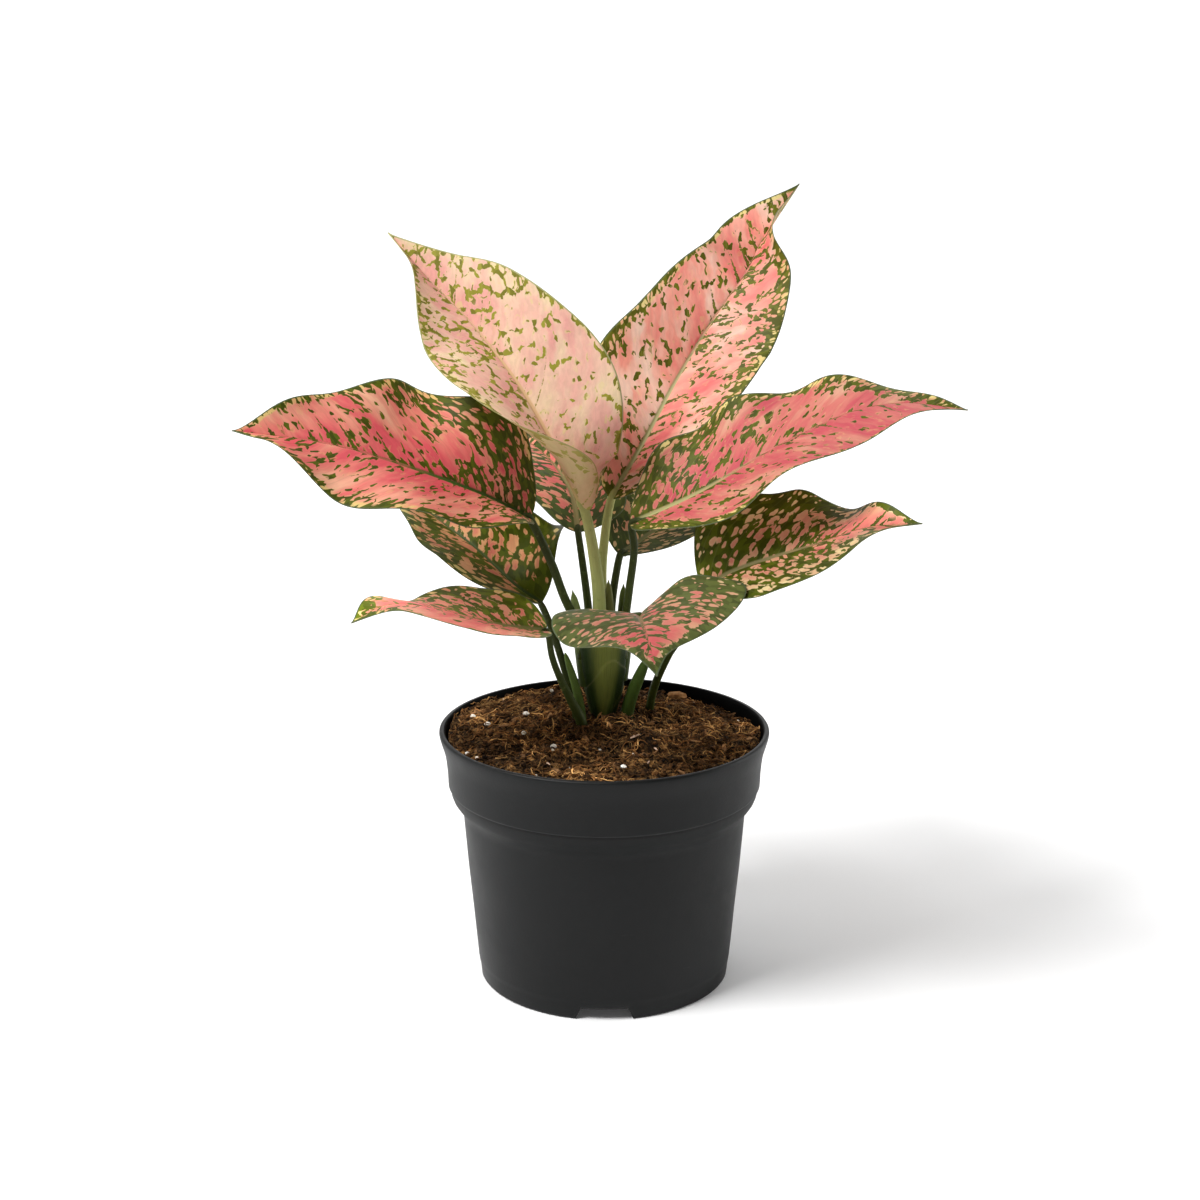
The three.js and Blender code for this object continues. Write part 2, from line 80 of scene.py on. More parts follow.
# Section of the pot, radius and height, from the middle of the floor's underside round the foot,
# up the wall, over the rim and down the inside
POT_SECTION = [
    (0, FLOOR_UNDERSIDE), (20, FLOOR_UNDERSIDE), (44, FLOOR_UNDERSIDE), (49.4, FLOOR_UNDERSIDE),
    (FOOT_INSIDE, 4.4), (FOOT_INSIDE, 0.6), (50.5, 0), (53.2, 0), (53.8, 0.4), (BASE_RADIUS, 1.2),
    (54.4, 6), (54.55, 7.6), (54.75, 8.4), (54.8, 9.2), (56.6, 30), (58.5, 50), (60.2, 72),
    (60.35, 73.6), (60.75, 75), (61.5, 76.4), (63.3, 78.6), (64.5, 80.4), (65.2, 82.2),
    (65.5, 83.6), (65.6, 84.6), (65.66, 85.1), (65.9, 85.4), (66.25, 85.7), (66.42, 86.1),
    (66.46, 86.7), (66.6, 91), (67.1, 96.5), (67.5, 99.5), (68, 101.6), (68.6, 103.6),
    (69.2, 105.6), (69.7, 107.4), (69.95, 108.7), (69.9, 109.3), (69.6, 109.75), (69.1, 109.95),
    (68.5, POT_HEIGHT), (68, 109.9), (67.6, 109.5), (67.35, 108.8), (66.9, 105), (66.1, 98.5),
    (64.75, 85.3), (63.6, 81.4), (61, 78.6), (58.9, 74), (53.1, 8), (52, FLOOR_TOP),
    (44, FLOOR_TOP), (20, FLOOR_TOP), (0, FLOOR_TOP),
]

# Heights in metres where the dull slope under the collar, painted paler as light, and the crease
# above it, painted dark as shade, begin and end
POT_WAIST_PAINTED_LIGHT = ((0.0735, 0.0765), (0.0840, 0.0800))
POT_CREASE_SHADE = ((0.0838, 0.0845), (0.0858, 0.0853))
# Near black of the painted shade on the wall behind the lip and in the crease at the collar
POT_PAINTED_SHADE = (0.0015, 0.0015, 0.0015)

# Soil; loose bits lie between BIT_CLEAR and BIT_LIMIT from the pot's axis
SOIL_EDGE_HEIGHT = 108.2
SOIL_EDGE_RADIUS = 66.2
SOIL_UNDERSIDE = 84.0
SOIL_MOUND = 6.0
SOIL_MOUND_REACH = 34.0
SOIL_DIP = 5.0
SOIL_DIP_REACH = 67.4
CLOD_PLACE = (15.5, -27.0)
BIT_CLEAR = 9.0
BIT_LIMIT = 65.6
# Dark patches of the soil: scale, detail and roughness of their noise, and where it turns dark
SOIL_PATCH = (70.0, 3, 0.5)
SOIL_PATCH_EDGE = (0.40, 0.56)
# Larger bits on the soil: place and height above it, size, heading in degrees, two tones
TAN = ((0.20, 0.095, 0.035), (0.42, 0.22, 0.09))
STRAW = ((0.42, 0.27, 0.18), (0.78, 0.57, 0.44))
WHITE = ((0.95, 0.90, 0.80), (1.0, 1.0, 0.95))
CHIPS = [
    ("tan_chip", (33, 48, 0.5), (10.5, 6.5, 3.6), -20, TAN),
    ("curved_chip", (36, -18, 0.2), (10, 3, 1.2), -12, TAN),
    ("first_splinter", (12.5, -27, 0.8), (7.5, 1.6, 0.7), 55, STRAW),
    ("second_splinter", (20.8, -31, 0.4), (6, 0.9, 0.7), -70, STRAW),
    ("third_splinter", (17.5, -45, 0.3), (5.5, 0.8, 0.6), 75, STRAW),
    ("fourth_splinter", (-23, -46, 0.3), (6.5, 0.9, 0.6), -60, STRAW),
]
WHITE_GRAINS = [
    ((-57, 18, 0.3), (2.6, 2.2, 2.0), 10),
    ((-49.7, 0.8, 0.3), (2.9, 2.4, 2.0), 30),
    ((-33.8, 12.9, 0.4), (3.1, 2.5, 2.2), 5),
    ((-33.6, -15.2, 0.3), (2.4, 2.2, 1.9), 60),
    ((-20.8, -32, 0.4), (3.1, 2.8, 2.4), 20),
    ((-56.5, -27, 0.2), (2.3, 1.9, 1.6), 80),
    ((7.5, -51, 0.3), (2.6, 2.1, 1.8), 0),
]

# Cane, with its radii at heights along it; the stalks of the crown start at CANE_TOP
CANE_CENTRE = (-0.6, 3.0)
CANE_TOP = 150.0
CANE_HEIGHTS = [92, 112, 114, 116, 118, 120, 122, 125, 128, 135, 145, 149, 151.2, 152]
CANE_RADII = [4.3, 4.4, 4.6, 5.1, 5.8, 6.6, 7.2, 8.0, 8.8, 10.3, 11.3, 11.2, 9.6, 7.6]
# Sheath edges on the cane: direction of the middle, top height there, drop towards the sides
CANE_LIPS = ((-2.3, 118, 9), (0.5, 141, 16), (2.2, 131, 12))
CANE_LIP_STEP = 0.5

# Leaf blades
BLADE_THICKNESS = 0.55
RIB_WIDTH = 1.5
RIDGE_HEIGHT = 1.5
GROOVE_DEPTH = 0.55
QUILT_HEIGHT = 0.13
BLADE_ROWS = 150
HALF_COLUMNS = 30
VEIN_SPACING = 8.0

# The ten leaves: midrib points, roll of the face, stalk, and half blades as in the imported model.
# Each half blade: lift and curl in degrees and share of the width, all at even stations from 10 to
# 90 percent of the length; wave (height, count, phase); and the width in mm of its green margin.
LEAVES = {
    "1": dict(
        width=68, roll=[-58, -62, -62],
        midrib=[(-7.6, -18, 207), (-13.4, -24, 221), (-22, -24, 238), (-35, -16, 259),
                (-53, -2, 280), (-70, 8, 296), (-88, 18, 315)],
        left=dict(lift=[30, 50, 57, 50, 85], curl=[165, 45, 0, 0, 0],
                  share=[0.8, 0.85, 0.96, 0.9, 0.7], wave=(1.5, 3, 0.1), margin=[3, 4, 6, 6, 4]),
        right=dict(lift=[40, 0, 5, 10, 10], share=[1.1, 1.12, 0.99, 0.96, 0.9], wave=(1.5, 3, 0.3),
                   margin=[4, 3, 2.5, 4, 4]),
        stalk=[(-2, -4.5, CANE_TOP), (-2.3, -8, 170), (-4.8, -13, 191)], radii=(3.3, 1.9)),
    "2": dict(
        width=64, roll=[50],
        midrib=[(2.6, 1.5, 208), (17, 18, 230), (30, 27, 253), (45, 34, 277), (59, 39, 296),
                (67, 44, 311), (82, 50, 333)],
        left=dict(lift=[20, 5, 27, 15, 15], share=[1.1, 1.15, 0.98, 0.95, 1.25], wave=(2, 3, 0.2),
                  margin=[6, 8, 6, 2, 2.5]),
        right=dict(lift=[50, 35, 20, 18, 85], share=[1, 1, 1.03, 1.05, 0.75], wave=(2, 2.5, 0.2),
                   margin=[5, 6, 9, 10, 3]),
        stalk=[(1.2, 3, CANE_TOP), (-1, 4, 172), (0.2, 2, 192)], radii=(2.3, 1.7)),
    "3": dict(
        width=68, roll=[-35],
        midrib=[(-30, -14, 203), (-50, -26, 216), (-80, -38, 230), (-106, -44, 239),
                (-143, -48, 245)],
        left=dict(lift=[22, 14, 12, -1, 35], share=[1, 1, 1, 1, 1.15], wave=(2, 2.7, 0.08),
                  margin=[4, 5, 6, 5, 3]),
        right=dict(lift=[58, 40, 12, 20, 25], share=[1.3, 1.15, 1.1, 1.05, 1.05],
                   wave=(4.5, 3, 0.6), margin=[24, 18, 8, 4, 2.5]),
        stalk=[(-9.4, -1, CANE_TOP), (-16.5, -7, 168), (-21.8, -11, 184)], radii=(2, 1.6)),
    "4": dict(
        width=66, roll=[35],
        midrib=[(11, -14, 201), (38, -24, 216), (68, -32, 236), (95, -37, 250), (116, -39, 254),
                (140, -42, 252)],
        left=dict(lift=[28, 12, 0, -10, -10], share=[1.2, 1.05, 1, 0.95, 0.8],
                  wave=(3.5, 3.6, 0.81), margin=[18, 12, 4, 12, 8]),
        right=dict(lift=[18, 14, 21, 13, 33], share=[1], wave=(2, 2, 0.1),
                   margin=[10, 4, 1.5, 1, 1]),
        stalk=[(8, -0.5, CANE_TOP), (10.2, -5, 170), (12.2, -10, 189)], radii=(1.8, 1.5)),
    "5": dict(
        width=56, roll=[35],
        midrib=[(39, -35, 179), (51, -42, 188), (67, -50, 196), (81, -56, 202), (100, -62, 210),
                (120, -68, 213)],
        left=dict(lift=[50, 25, 8, -16, 10], share=[1.5, 1.15, 1, 1, 0.9], wave=(2, 3, 0.65),
                  margin=[20, 14, 10, 4, 3]),
        right=dict(lift=[19, 16, 14, 24, 35], share=[1], wave=(1.5, 2.5, 0),
                   margin=[8, 6, 5, 4, 3]),
        stalk=[(18.3, 14.5, 98), (20.6, 10.5, 120.7), (26, -8, 142), (30.6, -28, 157),
               (34.2, -33, 170)], radii=(1.9, 1.4)),
    "6": dict(
        width=74, roll=[0],
        midrib=[(14, -34, 168), (14, -56, 172), (15, -79, 174), (17, -97, 172), (19, -105, 164)],
        left=dict(lift=[42, 30, 17, 9, 2], share=[1, 1.02, 1.13, 0.98, 0.52], wave=(1.5, 2, 0.2),
                  margin=[12, 14, 14, 10, 4]),
        right=dict(lift=[10, 3, -4, -7, -2], share=[1, 0.95, 0.92, 0.87, 0.6], wave=(1.5, 2, 0.5),
                   margin=[12, 14, 15, 11, 4]),
        stalk=[(4.5, -4.5, CANE_TOP), (8, -13, 160)], radii=(2, 1.5)),
    "7": dict(
        width=50, roll=[0],
        midrib=[(-23, -26, 159), (-42, -38, 165), (-64, -52, 175), (-83, -60, 179),
                (-97, -68, 174)],
        left=dict(lift=[0, 0, -5, 0, 5], share=[1], wave=(0, 0, 0), margin=[3, 1.5, 1, 1.5, 4]),
        right=dict(lift=[55, 30, 2, -2, 6], share=[1, 1, 1, 1, 1.25], wave=(2.5, 2.1, 0.28),
                   margin=[10, 8, 6, 3, 5]),
        stalk=[(-8.2, -9.8, 98), (-9.5, -10.8, 114.5), (-14.2, -13, 126), (-18.6, -17, 137),
               (-21.5, -21, 147)], radii=(3.6, 1.3)),
    "8": dict(
        width=62, roll=[-35],
        midrib=[(-26.5, 6, 162), (-37.5, 9.5, 169), (-54, 20, 182), (-69, 30, 191), (-94, 44, 207)],
        left=dict(lift=[45, 43, 44, 44, 42], share=[1], wave=(1, 3, 0.2), margin=[7, 6, 6, 6, 5]),
        right=dict(lift=[38, -10, 5, 10, 10], share=[1.5, 1.2, 0.85, 0.8, 0.8],
                   wave=(1.5, 2.2, 0.5), margin=[18, 14, 10, 8, 6]),
        stalk=[(-10.5, 1.5, 98), (-12.7, 0, 122.8), (-15.6, -1.5, 132), (-21.4, -1, 151)],
        radii=(1.9, 1.4)),
    "9": dict(
        width=56, roll=[-25],
        midrib=[(-11, 16.5, 190.5), (-14, 37, 202.5), (-22, 60, 211), (-33, 84, 216),
                (-46, 105, 217)],
        left=dict(lift=[35, 25], share=[0.8, 0.9, 1, 1, 1], wave=(2, 2, 0.2),
                  margin=[8, 8, 8, 6, 5]),
        right=dict(lift=[-20, -10, 0, 10, 15], share=[1.2, 0.85, 0.8, 0.9, 1], wave=(2, 2.5, 0.5),
                   margin=[8, 8, 8, 6, 5]),
        stalk=[(-6, 7.5, CANE_TOP), (-7.5, 9, 166)], radii=(1.9, 1.4)),
    "10": dict(
        width=60, roll=[25],
        midrib=[(6.5, 14, 181), (22, 36, 187), (40, 60, 195), (60, 84, 203), (84, 105, 210)],
        left=dict(lift=[15, 22, 22, 15, 15], share=[1.3, 0.88, 0.85, 0.9, 1], wave=(2, 2, 0.2),
                  margin=[14, 12, 9, 7, 5]),
        right=dict(lift=[28], share=[0.9], wave=(2, 2.5, 0.5), margin=[14, 12, 9, 7, 5]),
        stalk=[(2.6, 9.5, CANE_TOP), (3.6, 11, 164)], radii=(1.9, 1.5)),
}

# Looks of each leaf, colours in linear light.
# Ground: `ground` runs from palest to hottest, and `hot` shifts it towards the last colour. `heart`
# is how much deeper it is by the midrib than at the margin; `heat` adds to that, at five stations
# from foot to tip, for both halves or for the left and the right.
# Green: `flecks` is its share of the left and right inner blade at such stations, and `rim_green`
# its share at the margin. `specks` is the number of flecks per mm, and `chain` thins them away from
# the borders of the patches and thickens them there. `islands` is the number of pale islands per
# mm, `squeeze` how far marks are stretched along the side veins (one is round), and `green` the
# colour of them all.
# Pale: `spot` shows round flecks by `halo`, and tints the ground by `cream` within `rim` mm of the
# margin. Veins: `wedge` is the half width in mm of the green wedges on the side veins, `base` the
# length in mm of the green foot, `rib` the midrib's colour, `fade` where along the blade it fades.
# Skin: `painted_light` is painted light and shade: how much brighter or darker the left and the
# right half are painted as light falls on them. `rim_line` is the colour of the thin edge, and the
# underside takes half of its tone from `below`.

# Looks that are one number, for the ten leaves in turn
LOOK_SCALES = dict(
    hot=[0.1, 0, 0.13, 0.1, 0, 0, 0.05, -0.05, 0, -0.1],
    heart=[0.1, 0, 0.25, 0, 0.4, 0.4, 0.25, 0.1, 0.2, 0.1],
    rim_green=[0.42, 0.72, 0.74, 0.78, 0.88, 0.88, 0.8, 0.88, 0.8, 0.82],
    specks=[0.5, 0.64, 0.75, 0.66, 0.5, 0.56, 0.46, 0.44, 0.46, 0.6],
    islands=[0.42, 0.46, 0.42, 0.42, 0.33, 0.34, 0.27, 0.24, 0.3, 0.36],
    squeeze=[0.85, 0.66, 0.46, 0.52, 0.62, 0.5, 0.7, 0.6, 0.55, 0.55],
    halo=[0.5, 0.3, 0.22, 0.22, 0.22, 0.22, 0.22, 0.22, 0.22, 0.22],
    cream=[0.7, 0.85, 0.8, 0.9, 0.9, 0.8, 0.8, 0.9, 0.7, 0.7],
    rim=[8, 6, 5, 5, 16, 8, 5, 8, 6, 6],
    wedge=[0.3, 1.2, 1.3, 1, 1.2, 1.1, 0.8, 1.2, 1.1, 1.1],
    base=[4, 8, 20, 14, 24, 14, 16, 20, 20, 24],
    fade=[0.6, 0.5, 0.5, 0.3, 0.5, 0.4, 0.4, 0.7, 0.5, 0.5],
)
# The other looks, with what most leaves share in LOOK
LOOK = dict(spot=(0.66, 0.56, 0.2), heat=[0], painted_light=(1, 1), chain=(0.28, 1.8),
            below=(0.4, 0.32, 0.2), rim_line=(0.075, 0.1, 0.045))
LOOKS = {
    "1": dict(
        ground=[(0.72, 0.57, 0.35), (0.73, 0.46, 0.34), (0.7, 0.33, 0.28)],
        heat=[-0.1, 0, 0.1, 0.2, 0.3],
        flecks=([0.12, 0.18, 0.22, 0.22, 0.18], [0.05, 0.07, 0.12, 0.2, 0.18]), chain=(0.08, 2.5),
        green=(0.16, 0.15, 0.018), spot=(0.66, 0.58, 0.22), rib=(0.6, 0.38, 0.2),
        below=(0.5, 0.43, 0.15), rim_line=(0.34, 0.33, 0.15)),
    "2": dict(
        ground=[(0.76, 0.53, 0.42), (0.74, 0.3, 0.23), (0.68, 0.14, 0.135)],
        heat=([-0.1, -0.15, 0, 0.15, 0.1], [0.2, 0.25, 0.15, 0.05, 0]),
        flecks=([0.2, 0.2, 0.16, 0.18, 0.22], [0.16, 0.2, 0.24, 0.24, 0.24]), chain=(0.35, 1.7),
        green=(0.072, 0.076, 0.006), rib=(0.38, 0.35, 0.17), painted_light=(1.1, 1),
        below=(0.44, 0.36, 0.19)),
    "3": dict(
        ground=[(0.7, 0.35, 0.23), (0.66, 0.21, 0.155), (0.6, 0.085, 0.1)],
        heat=[0.1, 0.25, 0.25, 0.15, 0],
        flecks=([0.28, 0.2, 0.16, 0.18, 0.22], [0.5, 0.32, 0.2, 0.16, 0.2]), chain=(0.4, 1.6),
        green=(0.046, 0.056, 0.003), spot=(0.62, 0.5, 0.16), rib=(0.06, 0.11, 0.02)),
    "4": dict(
        ground=[(0.54, 0.28, 0.19), (0.51, 0.15, 0.12), (0.46, 0.075, 0.09)],
        heat=([0.1, 0.25, 0, 0.1, 0], [0.1, 0.25, 0.3, 0.15, 0]),
        flecks=([0.5, 0.28, 0.16, 0.1, 0.12], [0.3, 0.18, 0.13, 0.1, 0.1]), chain=(0.35, 1.7),
        green=(0.05, 0.058, 0.004), rib=(0.38, 0.36, 0.16)),
    "5": dict(
        ground=[(0.64, 0.38, 0.21), (0.6, 0.27, 0.17), (0.56, 0.15, 0.12)],
        heat=[0, 0, 0.1, 0.4, 0.3],
        flecks=([0.78, 0.66, 0.5, 0.26, 0.2], [0.62, 0.58, 0.52, 0.4, 0.25]),
        green=(0.044, 0.056, 0.002), spot=(0.74, 0.6, 0.3), rib=(0.3, 0.27, 0.12), painted_light=(1.4, 0.85)),
    "6": dict(
        ground=[(0.54, 0.27, 0.16), (0.54, 0.18, 0.13), (0.54, 0.1, 0.1)],
        heat=[0, 0, 0.1, 0.35, 0.5],
        flecks=([0.66, 0.7, 0.58, 0.2, 0.1], [0.66, 0.74, 0.7, 0.42, 0.2]),
        green=(0.056, 0.068, 0.016), spot=(0.58, 0.46, 0.24), rib=(0.2, 0.12, 0.05),
        painted_light=(0.9, 0.85)),
    "7": dict(
        ground=[(0.7, 0.34, 0.21), (0.68, 0.23, 0.16), (0.64, 0.13, 0.12)],
        heat=[0, 0.2, 0.3, 0.2, 0],
        flecks=([0.36, 0.14, 0.1, 0.1, 0.3], [0.62, 0.58, 0.42, 0.28, 0.4]),
        green=(0.068, 0.088, 0.004), rib=(0.26, 0.24, 0.08), painted_light=(1.0, 1.5)),
    "8": dict(
        ground=[(0.54, 0.29, 0.14), (0.48, 0.2, 0.1), (0.42, 0.11, 0.08)], heat=[0.2, 0.1, 0, 0, 0],
        flecks=([0.66, 0.5, 0.46, 0.52, 0.6], [0.8, 0.58, 0.5, 0.58, 0.66]),
        green=(0.036, 0.048, 0.002), spot=(0.56, 0.48, 0.16), rib=(0.05, 0.075, 0.02),
        painted_light=(0.85, 1.2)),
    "9": dict(
        ground=[(0.64, 0.29, 0.18), (0.6, 0.17, 0.13), (0.55, 0.1, 0.1)], flecks=[0.46],
        green=(0.036, 0.05, 0.007), spot=(0.56, 0.46, 0.16), rib=(0.24, 0.2, 0.08)),
    "10": dict(
        ground=[(0.54, 0.4, 0.21), (0.52, 0.3, 0.16), (0.5, 0.2, 0.12)], flecks=[0.5],
        green=(0.036, 0.05, 0.007), spot=(0.52, 0.44, 0.16), rib=(0.16, 0.16, 0.06)),
}

# Young shoots, and the old sheaths that clasp the cane: path, and radius at foot and top, as in the
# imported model
SHOOTS = {
    "shoot_left": ([(-8, -3.5, 98), (-10.6, -5.5, 123), (-16.4, -6, 144)], 2.2, 1.6),
    "shoot_right": ([(8.6, 3, 98), (10.4, 1, 119), (18, -5, 141.5)], 3.1, 2.4),
}
SHEATHS = {
    "sheath_left": ([(-7, 1, 128), (-9.8, 1, 148), (-13.3, 1.5, 169)], 3.6, 0.9),
    "sheath_middle": ([(1.4, -1, 136), (1.8, -2.2, 158), (1.7, -2.8, 174.5)], 3.2, 0.8),
    "sheath_right": ([(6, 2.5, 130), (8.2, 3.5, 150), (8, 4, 171)], 4, 0.9),
}

# Colours of the stems at the foot and at the top
STEM_TONES = {
    "stalk": ((0.044, 0.060, 0.007), (0.038, 0.050, 0.012)),
    "pale stalk": ((0.25, 0.28, 0.08), (0.40, 0.40, 0.14)),
    "shoot_left": ((0.055, 0.090, 0.014), (0.12, 0.19, 0.035)),
    "shoot_right": ((0.030, 0.052, 0.008), (0.055, 0.095, 0.014)),
    "sheath_left": ((0.055, 0.085, 0.014), (0.26, 0.33, 0.11)),
    "sheath_middle": ((0.085, 0.115, 0.018), (0.125, 0.125, 0.030)),
    "sheath_right": ((0.045, 0.068, 0.010), (0.075, 0.100, 0.018)),
}

# Studio: camera on the photograph's view, and lights as place, target, side length and watts
CAMERA_PLACE = (-0.0018, -0.7873, 0.3732)
CAMERA_DROP = 14.8
CAMERA_LENS = 58.5
LIGHTS = {
    "key": ((-1.05, -0.75, 1.9), (0, 0, 0.1), 0.9, 58.5),
    "left strip": ((-1.3, 0.25, 0.45), (0, 0, 0.1), 0.7, 4),
    "right strip": ((1.3, 0.35, 0.45), (0, 0, 0.1), 0.7, 8),
    "top": ((0.2, 0.5, 2.2), (0, 0, 0), 1.6, 5),
    "backdrop wash": ((0, 1.2, 2.6), (0, 4.0, 1.0), 2.0, 90),
}
WORLD_STRENGTH = 0.165


# Curves, fields and meshes

def unit(v):
    """Vectors scaled to length one."""
    return v / np.maximum(np.linalg.norm(v, axis=-1, keepdims=True), 1e-12)


def cubic(a, b, c, d, f):
    """A cubic from b to c at the share f, whose end slopes are half of c - a and half of d - b."""
    return 0.5 * (2 * b + (c - a) * f + (2 * a - 5 * b + 4 * c - d) * f ** 2
                  + (3 * b - a - 3 * c + d) * f ** 3)


def smooth_stations(values, t, start=0.1, end=0.9):
    """Smooth value at t of a list at even stations: a cubic for each span."""
    v = np.asarray(values, float)
    t = np.asarray(t, float)
    if len(v) == 1:
        return np.full(t.shape, v[0])
    last = len(v) - 1
    x = np.clip((t - start) / (end - start), 0, 1) * last
    i = np.minimum(x.astype(int), last - 1)
    return cubic(*(v[np.clip(i + k, 0, last)] for k in (-1, 0, 1, 2)), x - i)


def curve_through(points, t):
    """Points at even lengths t (0 to 1) of a smooth curve through the given points, its tangents
    there, and its whole length. Each span is a cubic whose end slopes are half the chord between
    the neighbouring points."""
    p = np.asarray(points, float)
    p = np.vstack([2 * p[0] - p[1], p, 2 * p[-1] - p[-2]])
    u = np.linspace(0, len(points) - 1, 900)
    i = np.minimum(u.astype(int), len(points) - 2)
    dense = cubic(p[i], p[i + 1], p[i + 2], p[i + 3], (u - i)[:, None])
    length = np.concatenate([[0], np.cumsum(np.linalg.norm(np.diff(dense, axis=0), axis=1))])
    slope = unit(np.gradient(dense, length, axis=0))
    at = np.asarray(t) * length[-1]
    place, way = (np.stack([np.interp(at, length, line[:, k]) for k in range(3)], axis=-1)
                  for line in (dense, slope))
    return place, unit(way), length[-1]


def smooth_step(x, low, high):
    """Zero below low, one above high, and 3u^2 - 2u^3 between."""
    u = np.clip((x - low) / (high - low), 0, 1)
    return u * u * (3 - 2 * u)


def value_noise(x, y, cell, seed):
    """Smooth noise from -1 to 1: random values on a square lattice of the given cell, blended with
    the smooth step between lattice points."""
    table = np.random.default_rng(seed).uniform(-1, 1, (64, 64))
    u, v = np.asarray(x) / cell + 500.3, np.asarray(y) / cell + 500.7
    i, j = np.floor(u).astype(int), np.floor(v).astype(int)
    fu, fv = smooth_step(u - i, 0, 1), smooth_step(v - j, 0, 1)
    corner = lambda a, b: table[(i + a) % 64, (j + b) % 64]
    near = corner(0, 0) * (1 - fu) + corner(1, 0) * fu
    far = corner(0, 1) * (1 - fu) + corner(1, 1) * fu
    return near * (1 - fv) + far * fv


def linked(name, data):
    """A new object of the scene."""
    made = bpy.data.objects.new(name, data)
    bpy.context.scene.collection.objects.link(made)
    return made


def mesh_piece(name, points, faces, material, nodes, fields=None, smooth=True):
    """A mesh object from points in millimetres and a list of faces, riding on the root body.
    `fields` are named vectors per point."""
    mesh = bpy.data.meshes.new(name)
    mesh.from_pydata((np.asarray(points) * MM).tolist(), [], [list(map(int, f)) for f in faces])
    mesh.polygons.foreach_set("use_smooth", np.full(len(mesh.polygons), smooth))
    for key, values in (fields or {}).items():
        layer = mesh.attributes.new(key, "FLOAT_VECTOR", "POINT")
        layer.data.foreach_set("vector", np.asarray(values, np.float32).ravel())
    mesh.materials.append(material)
    mesh.update()
    piece = linked(name, mesh)
    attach(piece, "root")
    if nodes:
        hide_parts(*nodes)


def grid_faces(rows, columns, offset=0, closed=False, flip=False):
    """Quads of a grid of rows by columns of points, closed round the columns where asked."""
    i, j = np.meshgrid(np.arange(rows - 1), np.arange(columns if closed else columns - 1),
                       indexing="ij")
    k = (j + 1) % columns
    quads = np.stack([i * columns + j, i * columns + k, (i + 1) * columns + k,
                      (i + 1) * columns + j], -1)
    quads = quads.reshape(-1, 4) + offset
    return quads[:, ::-1] if flip else quads


def cap_faces(rows, columns, flip=False):
    """Fans that close the first and the last row of a closed grid on the two points after it."""
    k = np.arange(columns)
    after = (k + 1) % columns
    a, b = (k, after) if flip else (after, k)
    first, last = np.full((2, columns), rows * columns) + [[0], [1]]
    fans = np.stack([first, a, b, last, (rows - 1) * columns + b, (rows - 1) * columns + a], -1)
    return fans.reshape(-1, 3).tolist()


def closed_grid(name, grid, ends, material, node, field=None, flip=False):
    """A piece from rows of points round an axis, closed on a point at each end."""
    rows, columns = grid.shape[:2]
    faces = grid_faces(rows, columns, closed=True, flip=flip).tolist()
    faces += cap_faces(rows, columns, flip)
    if field is not None:
        field = {"stem": np.concatenate([field.reshape(-1, 3), [[0, 0, 0], [1, 0, 0]]])}
    points = np.concatenate([grid.reshape(-1, 3), ends])
    mesh_piece(name, points, faces, material, [node], field)


def copied(faces, starts):
    """The faces of one small mesh, repeated with the first point at each start."""
    return (faces[None] + starts[:, None, None]).reshape(-1, faces.shape[1])


# Materials

class Value:
    """One output of a node. A sum, difference, product or quotient of outputs and numbers is the
    output of a further node."""

    def __init__(self, net, socket):
        self.net, self.socket = net, socket

    def __abs__(self):
        return self.net.math("ABSOLUTE", self)


for sign, kind in (("add", "ADD"), ("sub", "SUBTRACT"), ("mul", "MULTIPLY"), ("truediv", "DIVIDE")):
    setattr(Value, f"__{sign}__", lambda a, b, kind=kind: a.net.math(kind, a, b))
    setattr(Value, f"__r{sign}__", lambda a, b, kind=kind: a.net.math(kind, b, a))


